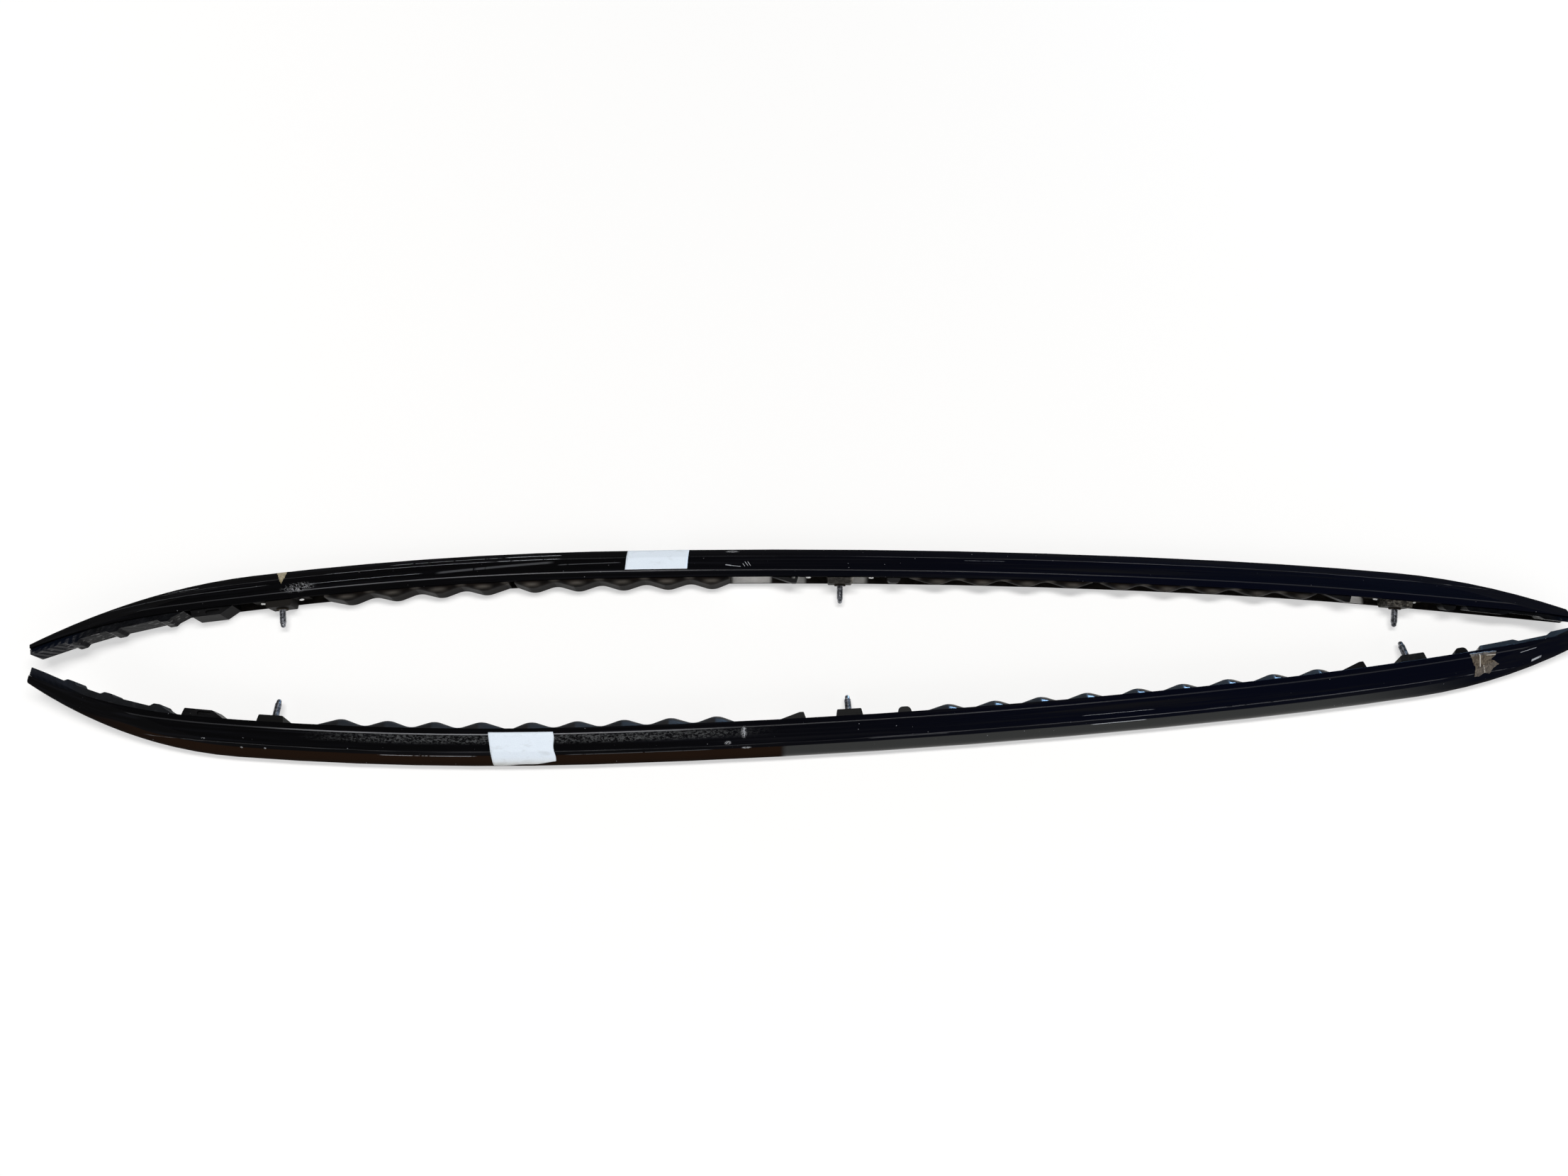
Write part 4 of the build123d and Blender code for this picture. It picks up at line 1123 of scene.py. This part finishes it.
def across(axis):
    """Two directions square to an axis and to each other."""
    aside = Vector((0, 0, 1)) if abs(axis.z) < 0.9 else Vector((1, 0, 0))
    first = axis.cross(aside).normalized()
    return first, axis.cross(first).normalized()


def clamped(value):
    """A value held between 0 and 1."""
    return min(1.0, max(0.0, value))


def make_threaded_stud(mount):
    """Stud with a real thread, a plain shank in its boss and a round dog point."""
    middle, axis = Vector(mount["pos_m"]), Vector(mount["axis"]).normalized()
    half, crest = mount["dims"]["length_mm"] / 2, mount["dims"]["r_mm"]
    steps = RINGS_PER_PITCH * round(2 * half / THREAD_PITCH)
    one, two = across(axis)
    foot, neck = -half - SHANK_LENGTH, half + POINT_STEP
    rings = [(foot, SHANK_RADIUS, SHANK_RADIUS), (-half, SHANK_RADIUS, SHANK_RADIUS)]
    for k in range(steps + 1):
        t = -half + 2 * half * k / steps
        full = min(1.0, (t + half) / THREAD_PITCH, (half - t) / THREAD_PITCH)
        rings.append((t, THREAD_ROOT, THREAD_ROOT + (crest - THREAD_ROOT) * full))
    rings.append((neck, POINT_RADIUS, POINT_RADIUS))
    for k in range(POINT_RINGS):
        turn = math.radians(POINT_RING_TURN * k)
        t, radius = neck + POINT_STEP + POINT_RADIUS * math.sin(turn), POINT_RADIUS * math.cos(turn)
        rings.append((t, radius, radius))
    corners = []
    for t, low, high in rings:
        for n in range(STUD_SIDES):
            turn = n / STUD_SIDES
            phase = (t / THREAD_PITCH - turn) % 1.0
            flank = clamped((abs(2 * phase - 1) - THREAD_FLAT) / THREAD_FLANK)
            radius = low + (high - low) * flank
            out = one * math.cos(2 * math.pi * turn) + two * math.sin(2 * math.pi * turn)
            corners.append(middle + (axis * t + out * radius) * MM)
    finish = FINISHES[mount["name"].split("_")[0]]["stud"]
    faces = ring_piece(len(rings), STUD_SIDES)
    stud = add_piece(f"{mount['name']}_threaded", corners, faces, finish)
    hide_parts(mount["name"])


def recess_depth(x, y):
    """Depth of a screw's cross recess at a place on its head."""
    arm, reach = min(abs(x), abs(y)), max(abs(x), abs(y))
    wall = clamped((RECESS_HALF_WIDTH - arm) / RECESS_WALL)
    return RECESS_DEPTH * (wall * clamped((RECESS_REACH - reach) / RECESS_END))


def make_pan_screws(rail):
    """Pan-head screws of a rail's feet, with cross recesses."""
    corners, faces = [], []
    rings = SCREW_SHANK + PAN_EDGE + PAN_TOP
    for station, half, tilt in FEET:
        for place in (station - half + SCREW_INSET, station + half - SCREW_INSET):
            seat, axis = rail.drill(place, FOOT_LEVEL, tilt)
            seat += axis * SEAT_GAP
            one, two = across(axis)
            start = len(corners)
            for radius, height in rings:
                for n in range(SCREW_SIDES):
                    turn = 2 * math.pi * n / SCREW_SIDES + SCREW_TURN_BY_STATION * station
                    x, y = radius * math.cos(turn), radius * math.sin(turn)
                    sunk = height - recess_depth(x, y) if height > RECESS_ABOVE else height
                    corners.append((seat + one * x + two * y + axis * sunk) * MM)
            for loop in ring_piece(len(rings), SCREW_SIDES):
                faces.append(tuple(start + k for k in loop))
    finish = FINISHES[rail.name]["foot_screws"]
    screws = add_piece(f"{rail.name}_pan_screws", corners, faces, finish)
    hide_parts(f"{rail.name}_foot_screws")


# Floor and backdrop, in metres: the floor's own glow is lower under the lamp, by about what the
# lamp adds there, so that it reads as an even white
FLOOR_HALF = 60.0
FLOOR_LEVEL = -0.0004
FLOOR_GREY = (0.50, 0.50, 0.50, 1)
LAMP_FOOT = (0.0, 0.5, 0.0)
LAMP_SPREAD = 7.3
FLOOR_GLOW = 0.90
LAMP_SHARE = 0.448
WALL_RADIUS = 50
WALL_HEIGHTS = (-0.1, 14.0)
WALL_TURNS = [math.radians(5.0 * k) for k in range(-4, 41)]


def floor_finish():
    """Pale grey that takes shadows, with a glow that cameras and reflections see as white."""
    material, tree, shader = new_material(
        "pale_floor", base_color=FLOOR_GREY, roughness=0.95, specular_ior_level=0.1
    )
    rays = tree.nodes.new("ShaderNodeLightPath").outputs
    seen = largest(
        tree, rays["Is Camera Ray"], rays["Is Glossy Ray"], rays["Is Transmission Ray"]
    )
    place = tree.nodes.new("ShaderNodeNewGeometry").outputs["Position"]
    way = put(tree, "ShaderNodeVectorMath", {0: place, 1: LAMP_FOOT}, operation="SUBTRACT")
    way = way.outputs[0]
    apart = put(tree, "ShaderNodeVectorMath", {0: way, 1: way}, operation="DOT_PRODUCT")
    spread = calc(tree, "ADD", apart.outputs["Value"], LAMP_SPREAD)
    near = calc(tree, "DIVIDE", LAMP_SPREAD, spread)
    level = scaled(tree, times(tree, near, near), -LAMP_SHARE, FLOOR_GLOW)
    white = {"Color": (1, 1, 1, 1), "Strength": times(tree, seen, level)}
    glow = put(tree, "ShaderNodeEmission", white)
    both = put(tree, "ShaderNodeAddShader", {0: shader.outputs[0], 1: glow.outputs[0]})
    tree.links.new(both.outputs[0], tree.nodes["Material Output"].inputs["Surface"])
    return material


def make_floor():
    """Wide pale floor that keeps the shadows, with a pale backdrop far behind it."""
    material = floor_finish()
    half = FLOOR_HALF
    corners = [(-half, -half, 0), (half, -half, 0), (half, half, 0), (-half, half, 0)]
    floor = mesh_object("floor", corners, [(0, 1, 2, 3)], material)
    floor.location.z = FLOOR_LEVEL
    corners = [
        (WALL_RADIUS * math.cos(turn), WALL_RADIUS * math.sin(turn), height)
        for turn in WALL_TURNS
        for height in WALL_HEIGHTS
    ]
    faces = [(2 * k, 2 * k + 1, 2 * k + 3, 2 * k + 2) for k in range(len(WALL_TURNS) - 1)]
    backdrop = mesh_object("backdrop", corners, faces, material)


# Light: the room is bright low in front, and tinted a little from the left to the right
ROOM_WARM = (1.0, 0.98, 0.96, 1)
ROOM_COOL = (0.97, 0.99, 1.0, 1)
ROOM_SIDES = (-0.7, 0.7)
ROOM_LOW = (0.72, 0.50)
ROOM_FRONT = (0.25, -0.25)
ROOM_BRIGHT = 1.0
ROOM_DIM = 0.02


def make_world():
    """Dim room with a soft bright band low in front, warm on the left and cool on the right."""
    world = bpy.data.worlds.new("studio")
    bpy.context.scene.world = world
    world.use_nodes = True
    tree = world.node_tree
    way = tree.nodes.new("ShaderNodeTexCoord").outputs["Generated"]
    x, y, z = put(tree, "ShaderNodeSeparateXYZ", {0: way}).outputs
    side = tint(tree, soft_step(tree, x, *ROOM_SIDES), ROOM_WARM, ROOM_COOL)
    bright = times(tree, soft_step(tree, z, *ROOM_LOW), soft_step(tree, y, *ROOM_FRONT))
    strength = scaled(tree, bright, ROOM_BRIGHT, ROOM_DIM)
    tree.links.new(side, tree.nodes["Background"].inputs["Color"])
    tree.links.new(strength, tree.nodes["Background"].inputs["Strength"])


def make_lamp(name, place, aim, size, power, colour, card=False):
    """Soft rectangular lamp, or a card that only shows in reflections."""
    data = bpy.data.lights.new(name, "AREA")
    data.shape = "RECTANGLE"
    data.size, data.size_y = size
    data.energy = power
    data.color = colour
    lamp = bpy.data.objects.new(name, data)
    bpy.context.scene.collection.objects.link(lamp)
    lamp.location = place
    lamp.visible_diffuse = not card
    lamp.rotation_euler = (Vector(aim) - Vector(place)).to_track_quat("-Z", "Y").to_euler()


# Camera, fitted to both rails in the photograph: its aim from the right rail's middle stud and
# its reach in millimetres, its turns in degrees, and its lens in pixels of the picture's width
CAMERA_AIM = Vector((RIGHT_HOME.x - 69.175, RIGHT_HOME.y - 13.858, 0.0))
CAMERA_REACH = 1512.6
CAMERA_PITCH = math.radians(72.94)
CAMERA_ROLL = math.radians(0.672)
SENSOR_WIDTH = 36.0
LENS_PIXELS = 1704
PICTURE_PIXELS = 2212
CAMERA_SIGHT = 200.0


def make_camera():
    """Camera above the near rail, as the photograph was taken."""
    aim = CAMERA_AIM * MM
    camera = bpy.data.objects.new("camera", bpy.data.cameras.new("camera"))
    bpy.context.scene.collection.objects.link(camera)
    back = Vector((0, -math.cos(CAMERA_PITCH), math.sin(CAMERA_PITCH)))
    camera.location = aim + back * (CAMERA_REACH * MM)
    roll = Matrix.Rotation(CAMERA_ROLL, 4, "Z")
    look = (aim - camera.location).to_track_quat("-Z", "Y").to_matrix().to_4x4()
    camera.rotation_euler = (look @ roll).to_euler()
    camera.data.sensor_width = SENSOR_WIDTH
    camera.data.lens = SENSOR_WIDTH * LENS_PIXELS / PICTURE_PIXELS
    camera.data.clip_end = CAMERA_SIGHT
    bpy.context.scene.camera = camera


for rail in RAILS:
    dress_solids(rail)
    make_pan_screws(rail)
for mount in frame["record"]["mounts"]:
    make_threaded_stud(mount)
make_labels_and_tape()
make_floor()
make_world()
make_lamp(
    "overhead_softbox", place=(0.0, 0.5, 2.7), aim=(0, 0.1, 0), size=(2.2, 0.55), power=70,
    colour=(1.0, 0.99, 0.97),
)
make_lamp(
    "blue_card", place=(1.35, 1.65, 0.40), aim=(0.35, -0.05, 0), size=(1.0, 0.6), power=80,
    colour=(0.36, 0.63, 1.0), card=True,
)
make_camera()
bpy.context.scene.view_settings.view_transform = "Standard"
